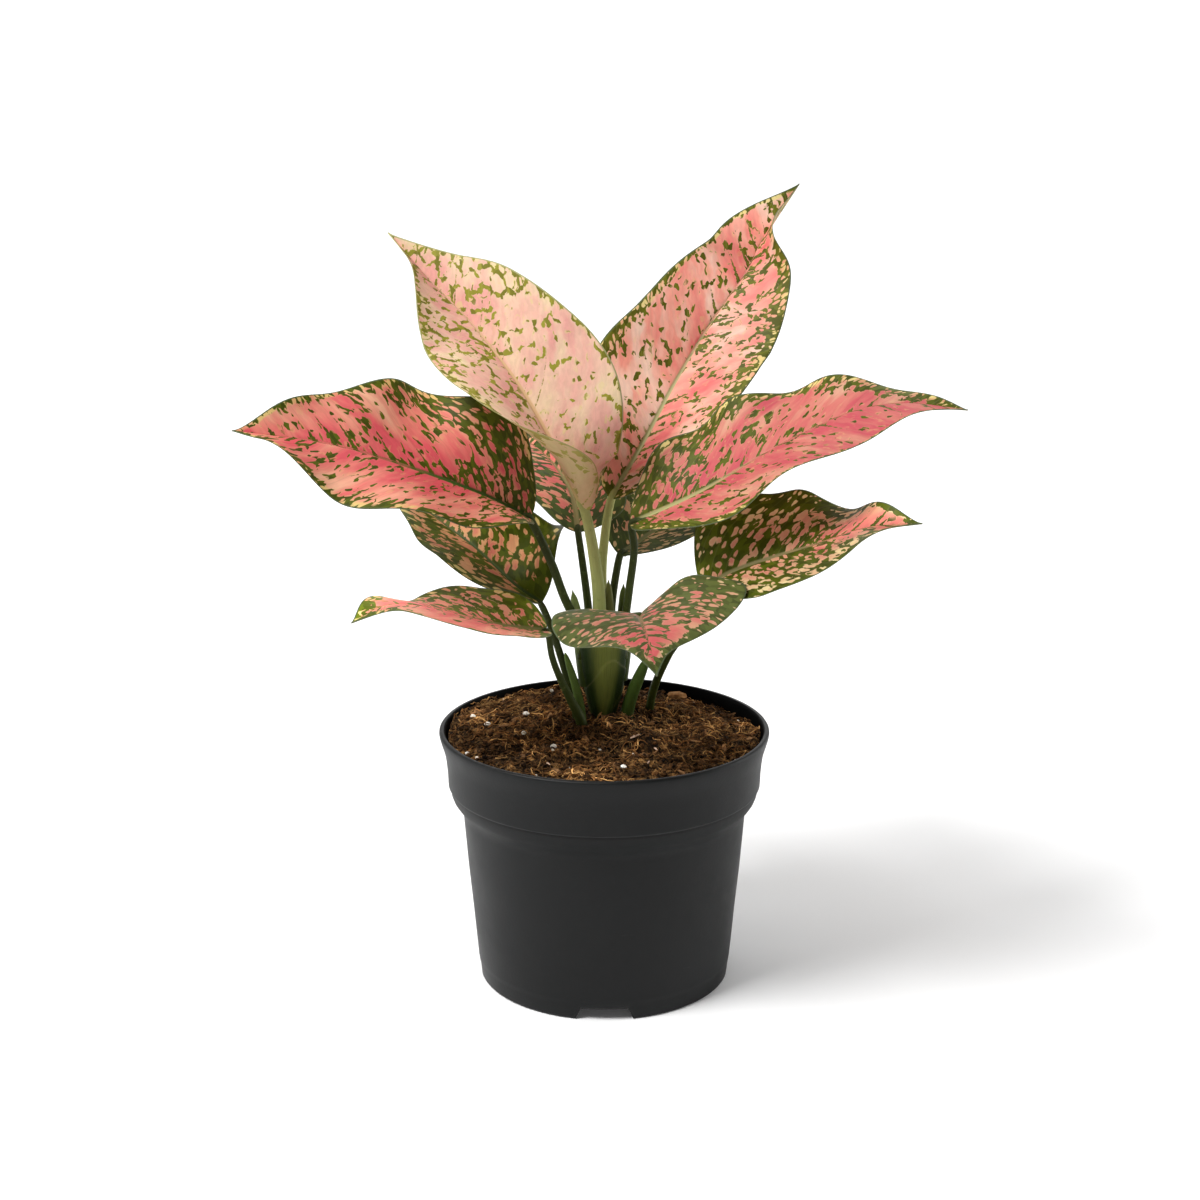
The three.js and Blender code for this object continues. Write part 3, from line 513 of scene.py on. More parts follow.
class Net:
    """A node material that grows by short calls. Inputs may be numbers or values of other nodes."""

    def __init__(self, name):
        self.material = bpy.data.materials.new(name)
        self.material.use_nodes = True
        self.tree = self.material.node_tree
        self.shader = self.tree.nodes["Principled BSDF"]

    def put(self, socket, value):
        if isinstance(value, Value):
            self.tree.links.new(value.socket, socket)
        elif isinstance(value, (tuple, list)) and len(value) == 3 and socket.type == "RGBA":
            socket.default_value = (*value, 1)
        else:
            socket.default_value = value

    def node(self, kind, inputs, outputs=(0,), **settings):
        """Outputs of a new node with its settings, and its inputs by name, number or in order."""
        made = self.tree.nodes.new(kind)
        for key, value in settings.items():
            setattr(made, key, value)
        for key, value in (inputs.items() if isinstance(inputs, dict) else enumerate(inputs)):
            self.put(made.inputs[key], value)
        found = [Value(self, made.outputs[key]) for key in outputs]
        return found if len(found) > 1 else found[0]

    def math(self, operation, *inputs):
        return self.node("ShaderNodeMath", inputs, operation=operation)

    def larger(self, a, b):
        return self.math("MAXIMUM", a, b)

    def vector(self, operation, a, b):
        inputs = {0: a, (3 if operation == "SCALE" else 1): b}
        return self.node("ShaderNodeVectorMath", inputs, operation=operation)

    def distance(self, a, b):
        return self.node("ShaderNodeVectorMath", (a, b), (1,), operation="DISTANCE")

    def join(self, x, y, z=0.0):
        return self.node("ShaderNodeCombineXYZ", (x, y, z))

    def parts(self, vector):
        return self.node("ShaderNodeSeparateXYZ", (vector,), (0, 1, 2))

    def field(self, name):
        """The three parts of the piece's own vector field."""
        return self.parts(self.node("ShaderNodeAttribute", (), ("Vector",), attribute_name=name))

    def place(self):
        """The point in the object's own frame, in metres."""
        return self.node("ShaderNodeTexCoord", (), ("Object",))

    def step(self, x, low, high, to_low=0.0, to_high=1.0):
        """Smooth step of x from low to high, mapped to to_low and to_high."""
        inputs = (x, low, high, to_low, to_high)
        return self.node("ShaderNodeMapRange", inputs, interpolation_type="SMOOTHSTEP")

    def band(self, x, rise, fall):
        """One between the rise and the fall."""
        return self.step(x, *rise) * self.step(x, *fall)

    def noise(self, where, scale, detail=2.0, roughness=0.5, output="Fac"):
        inputs = {"Vector": where, "Scale": scale, "Detail": detail, "Roughness": roughness}
        return self.node("ShaderNodeTexNoise", inputs, (output,))

    def blots(self, where, scale, smoothness):
        """A flat scatter of soft cells: the distance to a cell's point, and two random numbers from
        0 to 1 for each cell, blended at its edge."""
        inputs = {"Vector": where, "Scale": scale, "Smoothness": smoothness}
        outputs = ("Distance", "Color")
        far, colour = self.node("ShaderNodeTexVoronoi", inputs, outputs,
                                voronoi_dimensions="2D", feature="SMOOTH_F1")
        return far, *self.parts(colour)[:2]

    def borders(self, where, scale):
        """Distance to the borders of a flat scatter of cells."""
        inputs = {"Vector": where, "Scale": scale}
        return self.node("ShaderNodeTexVoronoi", inputs, ("Distance",),
                         voronoi_dimensions="2D", feature="DISTANCE_TO_EDGE")

    def mix(self, factor, a, b, blend="MIX"):
        inputs = {"Factor": factor, 6: a, 7: b}
        return self.node("ShaderNodeMix", inputs, (2,), data_type="RGBA", blend_type=blend)

    def dim(self, colour, factor):
        """A colour times a number."""
        return self.mix(1.0, colour, self.join(factor, factor, factor), "MULTIPLY")

    def ramp(self, x, stops):
        """Colour along evenly spaced stops."""
        colour = self.node("ShaderNodeValToRGB", (x,))
        line = colour.socket.node.color_ramp.elements
        while len(line) < len(stops):
            line.new(0.5)
        for k, stop in enumerate(stops):
            line[k].position = k / (len(stops) - 1)
            line[k].color = (*stop, 1)
        return colour

    def bump(self, height, strength, distance):
        inputs = {"Strength": strength, "Distance": distance, "Height": height}
        self.put(self.shader.inputs["Normal"], self.node("ShaderNodeBump", inputs))

    def finish(self, colour, roughness, shine, **others):
        self.put(self.shader.inputs["Base Color"], colour)
        self.put(self.shader.inputs["Roughness"], roughness)
        self.put(self.shader.inputs["Specular IOR Level"], shine)
        for key, value in others.items():
            self.put(self.shader.inputs[key.replace("_", " ")], value)
        return self.material


def leaf_material(name, look, seed):
    """Leaf skin. The ground runs from pale to deep pink in soft patches between the side veins.
    Small green flecks gather in chains along the borders of such patches. Where the green takes
    over, it closes to a net round pale islands, which shrink to round dots as its share of the area
    grows. An island's radius is the square root of -ln(share) / pi, in island spacings. Green
    wedges stand where side veins leave the midrib, and the underside is paler."""
    net = Net("leaf " + name)
    start, across, side = net.field("vein")
    green, hue, edge = net.field("zone")
    rib, along, under = net.field("rib")
    over, up, painted_light = net.field("grain")
    shift = side * 57.0 + seed * 131.0
    # coordinates in mm across the side veins, and shortened along them, bent by a slow noise
    plain = net.join(over + shift, up * look["squeeze"])
    bend = net.vector("SUBTRACT", net.noise(plain, 0.28, output="Color"), (0.5, 0.5, 0.5))
    flow = net.vector("ADD", plain, net.vector("SCALE", bend, 3.0))
    lane = net.vector("MULTIPLY", flow, (1.0, 0.5, 1.0))
    patch = net.vector("MULTIPLY", flow, (1.0, 0.9, 1.0))
    rough = net.noise(flow, 1.0) - 0.5
    # ground: long patches between the side veins, and a slow drift of tone
    tone = net.blots(lane, 0.15, 0.75)[1] * 0.75 + net.blots(lane, 0.34, 0.6)[1] * 0.35
    tone = net.noise(plain, 0.09) * 0.9 + (tone - 0.5) + hue
    ground = net.ramp(tone + look["hot"], look["ground"])
    ground = net.dim(ground, net.step(net.noise(lane, 0.7), 0.35, 0.65, 0.95, 1.04))
    # share of green, thicker in some places than in others
    clump = net.step(net.noise(plain, 0.13), 0.36, 0.64, -1.0, 1.0)
    share = green * (clump * ((1.0 - green) * 0.7) + 1.0)
    # islands
    far, luck, chance = net.blots(patch, look["islands"], 0.2)
    closing = net.math("MINIMUM", net.larger(share * 1.4 - 0.34, 0.004), 0.93)
    room = net.math("SQRT", net.math("LOGARITHM", closing, math.e) / -math.pi)
    island = rough * 0.22 + far - room * net.step(luck, 0.25, 0.75, 0.68, 1.22)
    closed = net.step(island, -0.05, 0.05)
    pale = net.step(edge, look["rim"], 0.3 * look["rim"]) * net.step(share, 0.25, 0.6)
    pale = pale * net.step(chance, 0.3, 0.6, 0.35, 1.0)
    ground = net.mix(pale * look["cream"], ground, look["spot"])
    # flecks, in chains
    border = rough * 0.16 + net.borders(patch, 0.17)
    chain = net.step(border, 0.22, 0.03, *look["chain"])
    _, speck, hint = net.blots(flow, look["specks"], 0.25)
    fleck = share * chain * net.step(share, 0.8, 0.4) - speck
    flecks = net.step(fleck, -0.03, 0.03)
    halo = net.larger(net.step(fleck, -0.14, 0.0), net.step(island, -0.22, 0.0))
    # wedges on the side veins, on some veins only
    near_vein = net.math("PINGPONG", start, VEIN_SPACING / 2)
    order = net.math("ROUND", start / VEIN_SPACING)
    lot = net.noise(net.join(order * 7.31, shift), 1.7, 0)
    reach = net.step(lot, 0.42, 0.62, 0.5, 10.0)
    wedge = (1.0 - across / reach) * look["wedge"] - (near_vein + rough * 2.4)
    wedge = net.step(wedge, -0.15, 0.15)
    bright = tuple(1.7 * v for v in look["green"])
    leaf_green = net.mix(net.step(hint, 0.2, 0.8), look["green"], bright)
    skin = net.mix(halo * look["halo"], ground, look["spot"])
    skin = net.mix(net.larger(net.larger(flecks, closed), wedge), skin, leaf_green)
    # side veins, midrib, edge and underside
    skin = net.mix(net.step(near_vein, 0.5, 0.1) * 0.10, skin, look["rib"])
    # painted light and shade: each half of the skin is made brighter or darker by its own factor
    skin = net.dim(skin, painted_light)
    fading = net.step(along, look["fade"] - 0.2, look["fade"] + 0.2, 1.0, 0.0)
    skin = net.mix(net.step(rib, 1.2, 0.5) * fading, skin, look["rib"])
    skin = net.mix(net.step(edge, 0.75, 0.3), skin, look["rim_line"])
    skin = net.mix(under, skin, net.mix(0.5, skin, look["below"]))
    net.bump(net.noise(lane, 1.1, 3), 0.12, 0.0005)
    gloss = net.step(net.noise(flow, 0.3), 0.3, 0.7, 0.46, 0.56)
    return net.finish(skin, under * 0.2 + gloss, 0.12)


def stalk_material(name, pale=0.0):
    """Stalk skin: long fine ridges, mottled green, from one colour at the foot to another."""
    low, high = STEM_TONES[name]
    net = Net(name)
    along, turn, _ = net.field("stem")
    grain = net.noise(net.join(turn * 9.0, along * 5.0), 1.6, 3, 0.6)
    colour = net.mix(net.step(along, 0.1, 0.8), low, high)
    colour = net.mix(net.step(grain, 0.4, 0.7, 0.0, 0.35), colour, tuple(0.5 * v for v in low))
    mottle = net.noise(net.place(), 420.0, 3, 0.6)
    colour = net.mix(net.step(mottle, 0.55, 0.75, 0.0, 0.35 + pale), colour, (0.16, 0.20, 0.06))
    net.bump(grain, 0.35, 0.0005)
    return net.finish(colour, net.step(mottle, 0.3, 0.7, 0.46, 0.6), 0.14)


def cane_material():
    """Cane and clasping sheaths: dark green lobes with paler green between them, a pale olive
    streak down the front that narrows towards the soil, and long fine ridges."""
    net = Net("cane")
    height, turn, lip = net.field("stem")
    grain = net.noise(net.join(turn * 14.0, height * 2.2), 2.0, 4, 0.6)
    broad = net.noise(net.join(turn * 2.0, height * 1.6), 1.2, 3, 0.6)
    waver = broad * 0.5 - 0.25
    lobes = net.math("SINE", (turn + waver) * 4.0 + 0.9)
    colour = net.mix(net.step(lobes, -0.8, 0.9), (0.014, 0.030, 0.003), (0.052, 0.080, 0.010))
    centre = net.step(height, 0.1, 1.0) * 0.10 + 0.02
    away = abs(turn - centre + waver * 0.5)
    streak = net.step(away / net.step(height, 0.1, 0.9, 0.20, 0.56), 1.5, 0.2)
    colour = net.mix(streak * 0.85, colour, (0.150, 0.165, 0.030))
    colour = net.mix(net.step(grain, 0.45, 0.7, 0.0, 0.35), colour, (0.03, 0.05, 0.007))
    colour = net.mix(lip * 0.3, colour, (0.16, 0.15, 0.05))
    colour = net.mix(net.step(height, 0.16, 0.04, 0.0, 0.5), colour, (0.10, 0.065, 0.03))
    net.bump(grain, 0.4, 0.0008)
    return net.finish(colour, net.step(broad, 0.3, 0.7, 0.52, 0.68), 0.15)


def pot_material():
    """Moulded plastic, dark grey and satin, with a faint pebbled skin and soft scuffs."""
    net = Net("moulded plastic")
    where = net.place()
    x, y, z = net.parts(where)
    cloud = net.noise(where, 28.0, 4, 0.6)
    colour = net.mix(net.step(cloud, 0.3, 0.75), (0.0060, 0.0065, 0.0066), (0.0085, 0.0092, 0.0094))
    scuff = net.noise(net.vector("MULTIPLY", where, (1.0, 1.0, 6.0)), 60.0, 4, 0.7)
    colour = net.mix(net.step(scuff, 0.66, 0.8, 0.0, 0.3), colour, (0.035, 0.036, 0.037))
    # painted shade: the wall behind the lip is painted near black and dull, as in the shade inside
    # the pot; it lies inside a cone through the lip
    depth = z * 0.11 + 0.05602 - net.distance(net.join(x, y), (0.0, 0.0, 0.0))
    inner_wall_shade = net.step(depth, -0.0001, 0.0002) * net.step(z, 0.084, 0.088)
    colour = net.mix(inner_wall_shade * 0.75, colour, POT_PAINTED_SHADE)
    # painted light and shade: the slope under the collar is duller and painted paler as light, and
    # the crease above it is painted dark as shade
    waist_painted_light = net.band(z, *POT_WAIST_PAINTED_LIGHT)
    colour = net.mix(waist_painted_light * 0.75, colour, (0.0130, 0.0138, 0.0140))
    colour = net.mix(net.band(z, *POT_CREASE_SHADE) * 0.8, colour, POT_PAINTED_SHADE)
    net.bump(net.noise(where, 900.0, 3, 0.6), 0.12, 0.0004)
    shine = net.larger(inner_wall_shade, waist_painted_light * 0.6) * -0.17 + 0.19
    return net.finish(colour, net.step(cloud, 0.3, 0.7, 0.44, 0.54), shine)


def soil_material():
    """Peat and coir: dark crumbs under a mat of fine ochre fibres. The fibres are the thin lines
    where a noise crosses its middle value, in two sizes; one clod of bare peat stays dark."""
    net = Net("peat and coir")
    where = net.place()
    crumb = net.noise(where, 420.0, 5, 0.7)
    colour = net.ramp(net.step(crumb, 0.32, 0.72), [(0.003, 0.0016, 0.0008), (0.030, 0.014, 0.006),
                                                   (0.22, 0.105, 0.032), (0.60, 0.32, 0.11)])
    # painted shade: within 30 mm of the cane's foot the soil is painted darker, for the shade under
    # the leaves, on top of the dark patches; the fibres there are dimmer too
    foot = net.distance(where, (0.004, -0.004, 0.112))
    dark = net.larger(net.step(net.noise(where, *SOIL_PATCH), *SOIL_PATCH_EDGE),
                      net.step(foot, 0.030, 0.012))
    colour = net.mix(dark * 0.8, colour, (0.010, 0.0055, 0.003))
    lines = 0.0
    for scale in (260.0, 430.0):
        cross = abs(net.noise(where, scale, 1, 0.4) - 0.5)
        lines = net.larger(lines, net.step(cross, 0.035, 0.008))
    lines = lines * net.step(crumb, 0.36, 0.55) * (dark * -0.5 + 0.75)
    colour = net.mix(lines, colour, (0.46, 0.26, 0.10))
    clod = net.distance(where, (CLOD_PLACE[0] * MM, CLOD_PLACE[1] * MM, 0.112))
    colour = net.mix(net.step(clod, 0.0085, 0.006, 0.0, 0.85), colour, (0.010, 0.006, 0.004))
    net.bump(crumb, 0.9, 0.0015)
    return net.finish(colour, 0.95, 0.08)


def grain_material(name, low, high, roughness=0.9, scale=300.0, damp=0.5):
    """Loose bits of one kind, each mottled between two colours, with a tint of its own, and darker
    by `damp` where the soil below is dark."""
    net = Net(name)
    tint, _, _ = net.field("bit")
    colour = net.mix(net.step(net.noise(net.place(), scale, 3, 0.6), 0.3, 0.7), low, high)
    patch = net.step(net.noise(net.place(), *SOIL_PATCH), *SOIL_PATCH_EDGE, 1.12, 1.0 - damp)
    colour = net.dim(colour, (tint * 0.9 + 0.45) * patch)
    net.bump(net.noise(net.place(), scale * 3, 3, 0.6), 0.5, 0.0005)
    return net.finish(colour, roughness, 0.1)


# Leaves

def blade_form(t):
    """Share of the half width along the blade: t^0.55 (1-t)^1.25 (1+1.7t), one at 44 percent."""
    outline = lambda x: x ** 0.55 * (1 - x) ** 1.25 * (1 + 1.7 * x)
    return outline(np.clip(t, 0, 1)) / outline(0.44)


def blade_surface(leaf, t, s):
    """Middle surface of a blade at rows t and columns s, with its normals, the half width in mm and
    the length. A half blade leaves the midrib at its lift angle and turns further by its curl; a
    sine wave grows with the square of the way to the margin."""
    centre, way, length = curve_through(leaf["midrib"], t)
    face = unit(UP - way * (way @ UP)[:, None])
    side = np.cross(way, face)
    roll = np.radians(smooth_stations(leaf["roll"], t, 0, 1))[:, None]
    normal = face * np.cos(roll) + side * np.sin(roll)
    across = side * np.cos(roll) - face * np.sin(roll)
    points = np.zeros((len(t), len(s), 3))
    widths = np.zeros((len(t), len(s)))
    stub = 0.9 * (1 - t) ** 3 + 0.12
    for name, chosen, sign in (("left", s < 0, -1), ("right", s >= 0, 1)):
        half = leaf[name]
        reach = np.abs(s[chosen])[None, :]
        width = leaf["width"] / 2 * blade_form(t) * smooth_stations(half["share"], t) + stub
        width = width[:, None]
        lift = np.radians(smooth_stations(half["lift"], t))[:, None]
        curl = np.radians(smooth_stations(half.get("curl", [0]), t))[:, None]
        curl = np.where(np.abs(curl) < 1e-3, 1e-3, curl)
        out = (np.sin(lift + curl * reach) - np.sin(lift)) / curl
        rise = (np.cos(lift) - np.cos(lift + curl * reach)) / curl
        height, count, phase = half["wave"]
        wave = height * np.sin(2 * np.pi * (count * t + phase)) * np.sin(np.pi * t) ** 0.6
        rise = rise * width + wave[:, None] * reach ** 2
        points[:, chosen] = (centre[:, None] + across[:, None] * (sign * out * width)[..., None]
                             + normal[:, None] * rise[..., None])
        widths[:, chosen] = width
    tilt = unit(np.cross(np.gradient(points, axis=1), np.gradient(points, axis=0)))
    return points, tilt, widths, length


def side_vein_start(along, across, sign):
    """Where on the midrib, in mm, the side vein through a point starts. Veins leave at about 50
    degrees and bend towards the tip; those of the two halves alternate."""
    return along - 0.75 * across - 0.012 * across ** 2 + np.where(sign < 0, VEIN_SPACING / 2, 0)


def leaf_piece(name, leaf, look, seed):
    """A blade with sunk midrib and side veins above, a raised midrib below, and a thin rim."""
    even = np.linspace(0, 1, BLADE_ROWS)
    t = 0.45 * even + 0.55 * (0.5 - 0.5 * np.cos(np.pi * even))
    s = np.linspace(-1, 1, 2 * HALF_COLUMNS + 1)
    s = np.sign(s) * np.abs(s) ** 1.15
    points, tilt, widths, length = blade_surface(leaf, t, s)
    rows, columns = widths.shape
    reach = np.abs(s)[None, :]
    across = reach * widths
    along = np.broadcast_to((t * length)[:, None], across.shape)
    sign = np.broadcast_to(s[None, :], across.shape)
    start = side_vein_start(along, across, sign)
    tt = np.broadcast_to(t[:, None], across.shape)

    def of_half(stations):
        """Values along the blade from stations for both halves or for the left and the right."""
        pair = stations if isinstance(stations, tuple) else (stations, stations)
        return np.where(sign < 0, *(smooth_stations(part, t)[:, None] for part in pair))

    # relief
    rib_width = RIB_WIDTH * (1 - 0.8 * tt)
    puff = np.abs(np.sin(np.pi * start / VEIN_SPACING)) ** 0.7
    quilt = QUILT_HEIGHT * (puff - 0.6) * (smooth_step(across, 0.5, 6) * (1 - reach ** 5))
    groove = -GROOVE_DEPTH * (1 - tt) ** 0.7 * np.exp(-(across / (0.8 * rib_width)) ** 2)
    ridge = RIDGE_HEIGHT * (1 - tt) ** 0.9 * np.exp(-(across / rib_width) ** 2)
    ridge = ridge * smooth_step(tt, 0.0, 0.03)
    thick = BLADE_THICKNESS * (1 - 0.75 * reach ** 6)
    top = points + tilt * (thick / 2 + quilt + groove)[..., None]
    low = points - tilt * (thick / 2 - quilt + ridge)[..., None]
    # what the skin reads
    margin = of_half((leaf["left"]["margin"], leaf["right"]["margin"]))
    edge = (1 - reach) * widths
    inner = of_half(look["flecks"])
    outer = 1 - smooth_step(edge, 0.35 * margin, 1.25 * margin)
    green = inner + (look["rim_green"] - inner) * outer
    foot = 1 - smooth_step(along, 0.2 * look["base"], 1.3 * look["base"])
    green = np.maximum(green, 0.85 * foot)
    # painted light and shade: a factor for each half of the blade, brighter where light falls on it
    # and darker in shade; it rides as the third part of the grain field
    dim, bright = look["painted_light"]
    painted_light = dim + (bright - dim) * (smooth_step(sign * reach, -0.08, 0.08) + np.zeros_like(tt))
    heart = look["heart"] + of_half(look["heat"])
    hue = heart * smooth_step(1 - reach, 0.2, 0.9) - 0.5 * look["heart"]
    fields = {
        "vein": np.stack([start, across, np.sign(sign)], -1),
        "grain": np.stack([0.72 * along - 0.69 * across - 0.004 * across ** 2,
                           0.69 * along + 0.72 * across, painted_light], -1),
        "zone": np.stack([green, hue, edge], -1),
        "rib": np.stack([across / rib_width, tt, np.zeros_like(tt)], -1),
    }
    fields = {key: np.tile(values.reshape(-1, 3), (2, 1)) for key, values in fields.items()}
    count = rows * columns
    fields["rib"][count:, 2] = 1
    loop = np.concatenate([
        np.arange(columns - 1), np.arange(rows - 1) * columns + columns - 1,
        (rows - 1) * columns + np.arange(columns - 1, 0, -1), np.arange(rows - 1, 0, -1) * columns])
    after = np.roll(loop, -1)
    faces = np.concatenate([grid_faces(rows, columns), grid_faces(rows, columns, count, flip=True),
                            np.stack([loop, loop + count, after + count, after], -1)])
    mesh_piece("leaf_" + name, np.concatenate([top.reshape(-1, 3), low.reshape(-1, 3)]), faces,
               leaf_material(name, look, seed), ["blade_" + name], fields)


def stem_tube(name, path, radius, material, node, flat=lambda t: 0 * t, sides=20, steps=90):
    """A round stem along a smooth curve. `radius` and `flat` are functions of the share of its
    length: the radius in mm, and the share by which its upper side is flattened."""
    t = np.linspace(0, 1, steps)
    centre, way, _ = curve_through(path, t)
    right = unit(np.cross(np.array([0.0, 1.0, 0.0]), way))
    back = np.cross(way, right)
    turn = np.linspace(0, 2 * np.pi, sides, endpoint=False)
    r = radius(t)[:, None] * (1 - flat(t)[:, None] * smooth_step(-np.sin(turn)[None, :], 0.2, 1.0))
    r = r * (1 + 0.025 * np.sin(5 * turn)[None, :])
    ring = (centre[:, None] + right[:, None] * (r * np.cos(turn))[..., None]
            + back[:, None] * (r * np.sin(turn))[..., None])
    field = np.stack([np.repeat(t, sides), np.tile(np.cos(turn), steps),
                      np.tile(np.sin(turn), steps)], -1)
    closed_grid(name, ring, centre[[0, -1]], material, node, field)


def stalk_piece(name, leaf, material):
    """A leaf stalk: wide where it sheathes the cane, slim above, running on under the midrib. The
    stalk of leaf 7 is wide only at its very foot. Stalks of the crown start inside the cane."""
    midrib, way, _ = curve_through(leaf["midrib"], np.array([0.0, 0.035, 0.075]))
    under = midrib - unit(UP - way * way[:, 2:3]) * np.array([[0.3], [0.9], [0.7]])
    foot = np.array(leaf["stalk"][0], float)
    start = [foot - 10 * UP, foot] if foot[2] == CANE_TOP else [foot]
    low, high = leaf["radii"]
    flare = 3.0 if name == "7" else 1.2
    radius = lambda t: ((high + (low - high) * (1 - t) ** flare)
                        * (1 - 0.75 * smooth_step(t, 0.88, 1.0)))
    stem_tube("stalk_" + name, [*start, *leaf["stalk"][1:], *under], radius, material,
              "petiole_" + name, lambda t: 0.25 * smooth_step(t, 0.1, 0.6))


# Cane and shoots

def cane_piece():
    """The cane as nested sheaths. Its radius grows from 4.4 mm at the soil to 11.3 mm at the crown.
    Each sheath adds a little to the radius up to its own slanted edge, and its edge is dry."""
    rows, columns = 170, 96
    bottom, top = CANE_HEIGHTS[0], CANE_HEIGHTS[-1]
    height = np.linspace(bottom, top, rows)[:, None]
    turn = np.linspace(-np.pi, np.pi, columns, endpoint=False)[None, :]
    radius = np.tile(np.interp(height, CANE_HEIGHTS, CANE_RADII), (1, columns))
    lip = np.zeros((rows, columns))
    for middle, peak, slant in CANE_LIPS:
        away = np.abs((turn - middle + np.pi) % (2 * np.pi) - np.pi)
        edge = peak - slant * (away / 1.5) ** 1.5 + 1.2 * np.sin(5 * turn + middle)
        inside = smooth_step(away, 2.3, 2.0)
        radius += CANE_LIP_STEP * (smooth_step(edge - height, 0.0, 0.7) * inside)
        lip = np.maximum(lip, np.exp(-((edge - height - 0.4) / 0.5) ** 2) * inside)
    radius *= 1 + 0.012 * np.sin(7 * turn + 0.1 * height) + 0.008 * np.sin(13 * turn)
    ovals = 1 + 0.04 * np.cos(2 * turn)
    x = CANE_CENTRE[0] + radius * ovals * np.sin(turn)
    y = CANE_CENTRE[1] - radius * ovals * np.cos(turn)
    share = (height - 100) / 50
    closed_grid("cane_and_sheaths", np.stack([x, y, height + 0 * x], -1),
                [[*CANE_CENTRE, bottom], [*CANE_CENTRE, top - 0.5]], cane_material(),
                "cane", np.stack([share + 0 * x, turn + 0 * x, lip], -1))


# Pot

def pot_piece():
    """The pot turned from one closed section, its foot ring lifted in four slanted notches. Within
    DRAIN_BAND the floor is woven round four round drain holes: each point of a quarter's outline is
    joined to the point of the hole in the same direction from the hole's centre."""
    section = np.array(POT_SECTION)
    dense, gaps = [section[0]], []
    for a, b in zip(section[:-1], section[1:]):
        cuts = max(1, int(np.hypot(*(b - a)) / 6))
        if {a[0], b[0]} == set(DRAIN_BAND):
            cuts = 1
            gaps.append(len(dense) - 2)
        dense += [a + (b - a) * k / cuts for k in range(1, cuts + 1)]
    radius, level = np.array(dense)[1:-1].T
    quarter = np.arange(4) * np.pi / 2
    half_top, half_low = NOTCH_HALF_TOP / NOTCH_RADIUS, NOTCH_HALF_BOTTOM / NOTCH_RADIUS
    bends = [half_low, half_top, half_top - 0.002, half_top + 0.002]
    turn = np.concatenate([np.linspace(0, 2 * np.pi, POT_COLUMNS, endpoint=False),
                           *(quarter + sign * bend for bend in bends for sign in (-1, 1))])
    turn = np.unique(np.round(np.mod(turn, 2 * np.pi), 5))
    away = np.abs((turn + np.pi / 4) % (np.pi / 2) - np.pi / 4)
    lifted = NOTCH_HEIGHT * np.clip((half_low - away) / (half_low - half_top), 0, 1)
    height = np.tile(level[:, None], (1, len(turn)))
    foot = (radius > FOOT_INSIDE - 0.1) & (radius < BASE_RADIUS + 0.5) & (level < NOTCH_HEIGHT)
    height[foot] = np.maximum(height[foot], lifted[None, :])
    x, y = radius[:, None] * np.cos(turn), radius[:, None] * np.sin(turn)
    rows, columns = height.shape
    faces = grid_faces(rows, columns, closed=True)
    faces = faces[~np.isin(np.arange(len(faces)) // columns, gaps)].tolist()
    faces += cap_faces(rows, columns)
    blocks = [np.stack([x, y, height], -1).reshape(-1, 3),
              [[0, 0, FLOOR_UNDERSIDE], [0, 0, FLOOR_TOP]]]
    # the woven floor: spokes between the quarters, then the holes
    count = rows * columns + 2
    spokes, spoke = [], len(DRAIN_SPOKE)
    for z in (FLOOR_UNDERSIDE, FLOOR_TOP):
        blocks += [np.stack([DRAIN_SPOKE * math.cos(a), DRAIN_SPOKE * math.sin(a),
                             0 * DRAIN_SPOKE + z], -1) for a in quarter]
        spokes.append(np.arange(4 * spoke).reshape(4, spoke) + count)
        count += 4 * spoke
    for k, a in enumerate(quarter):
        low = int(np.argmin(np.abs(turn - a)))
        high = int(np.argmin(np.abs(turn - quarter[k + 1]))) if k < 3 else columns
        span = np.arange(low, high + 1) % columns
        middle = DRAIN_CIRCLE * np.array([math.cos(a + np.pi / 4), math.sin(a + np.pi / 4)])
        rims, loops = [], []
        for side, (z, inside, outside) in enumerate((
                (FLOOR_UNDERSIDE, gaps[0], gaps[0] + 1), (FLOOR_TOP, gaps[1] + 1, gaps[1]))):
            loop = np.concatenate([inside * columns + span, spokes[side][(k + 1) % 4],
                                   outside * columns + span[::-1], spokes[side][k][::-1]])
            rim = middle + DRAIN_RADIUS * unit(np.concatenate(blocks)[loop][:, :2] - middle)
            blocks.append(np.column_stack([rim, np.full(len(rim), z)]))
            loops.append(loop)
            rims.append(np.arange(len(rim)) + count)
            count += len(rim)
        for one, other in ((loops[0], rims[0]), (rims[1], loops[1]), (rims[0], rims[1])):
            faces += np.stack([one, np.roll(one, -1), np.roll(other, -1), other], -1).tolist()
    mesh_piece("grower_pot", np.concatenate(blocks), faces, pot_material(), ["pot"])


# Soil

def soil_height(x, y):
    """Smooth height of the soil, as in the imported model: a mound at the cane, a slow swell, and a
    dip towards the back right."""
    reach = np.hypot(x - CANE_CENTRE[0], y - CANE_CENTRE[1])
    mound = SOIL_MOUND * np.exp(-(reach / SOIL_MOUND_REACH) ** 2)
    dip = SOIL_DIP * np.maximum(0, math.sqrt(2) * (x + y) / SOIL_DIP_REACH - 1) ** 1.2
    swell = 0.8 * np.sin(x / 9 + 1) * np.cos(y / 11) + 0.5 * np.sin(x / 5 - y / 6)
    return SOIL_EDGE_HEIGHT + mound - dip + swell


def soil_relief(x, y):
    """Clods and crumbs on the smooth height, from four sizes of noise, and the dark clod."""
    clods = 1.5 * value_noise(x, y, 9.0, 3) + 1.1 * np.abs(value_noise(x, y, 4.5, 4))
    crumbs = 0.75 * value_noise(x, y, 2.2, 5) + 0.5 * value_noise(x, y, 1.1, 6)
    across, deep = (x - CLOD_PLACE[0]) / 7.5, (y - CLOD_PLACE[1]) / 5.5
    lump = 2.6 * np.exp(-(across ** 2 + deep ** 2) ** 2)
    return soil_height(x, y) + clods + crumbs + lump - 0.5


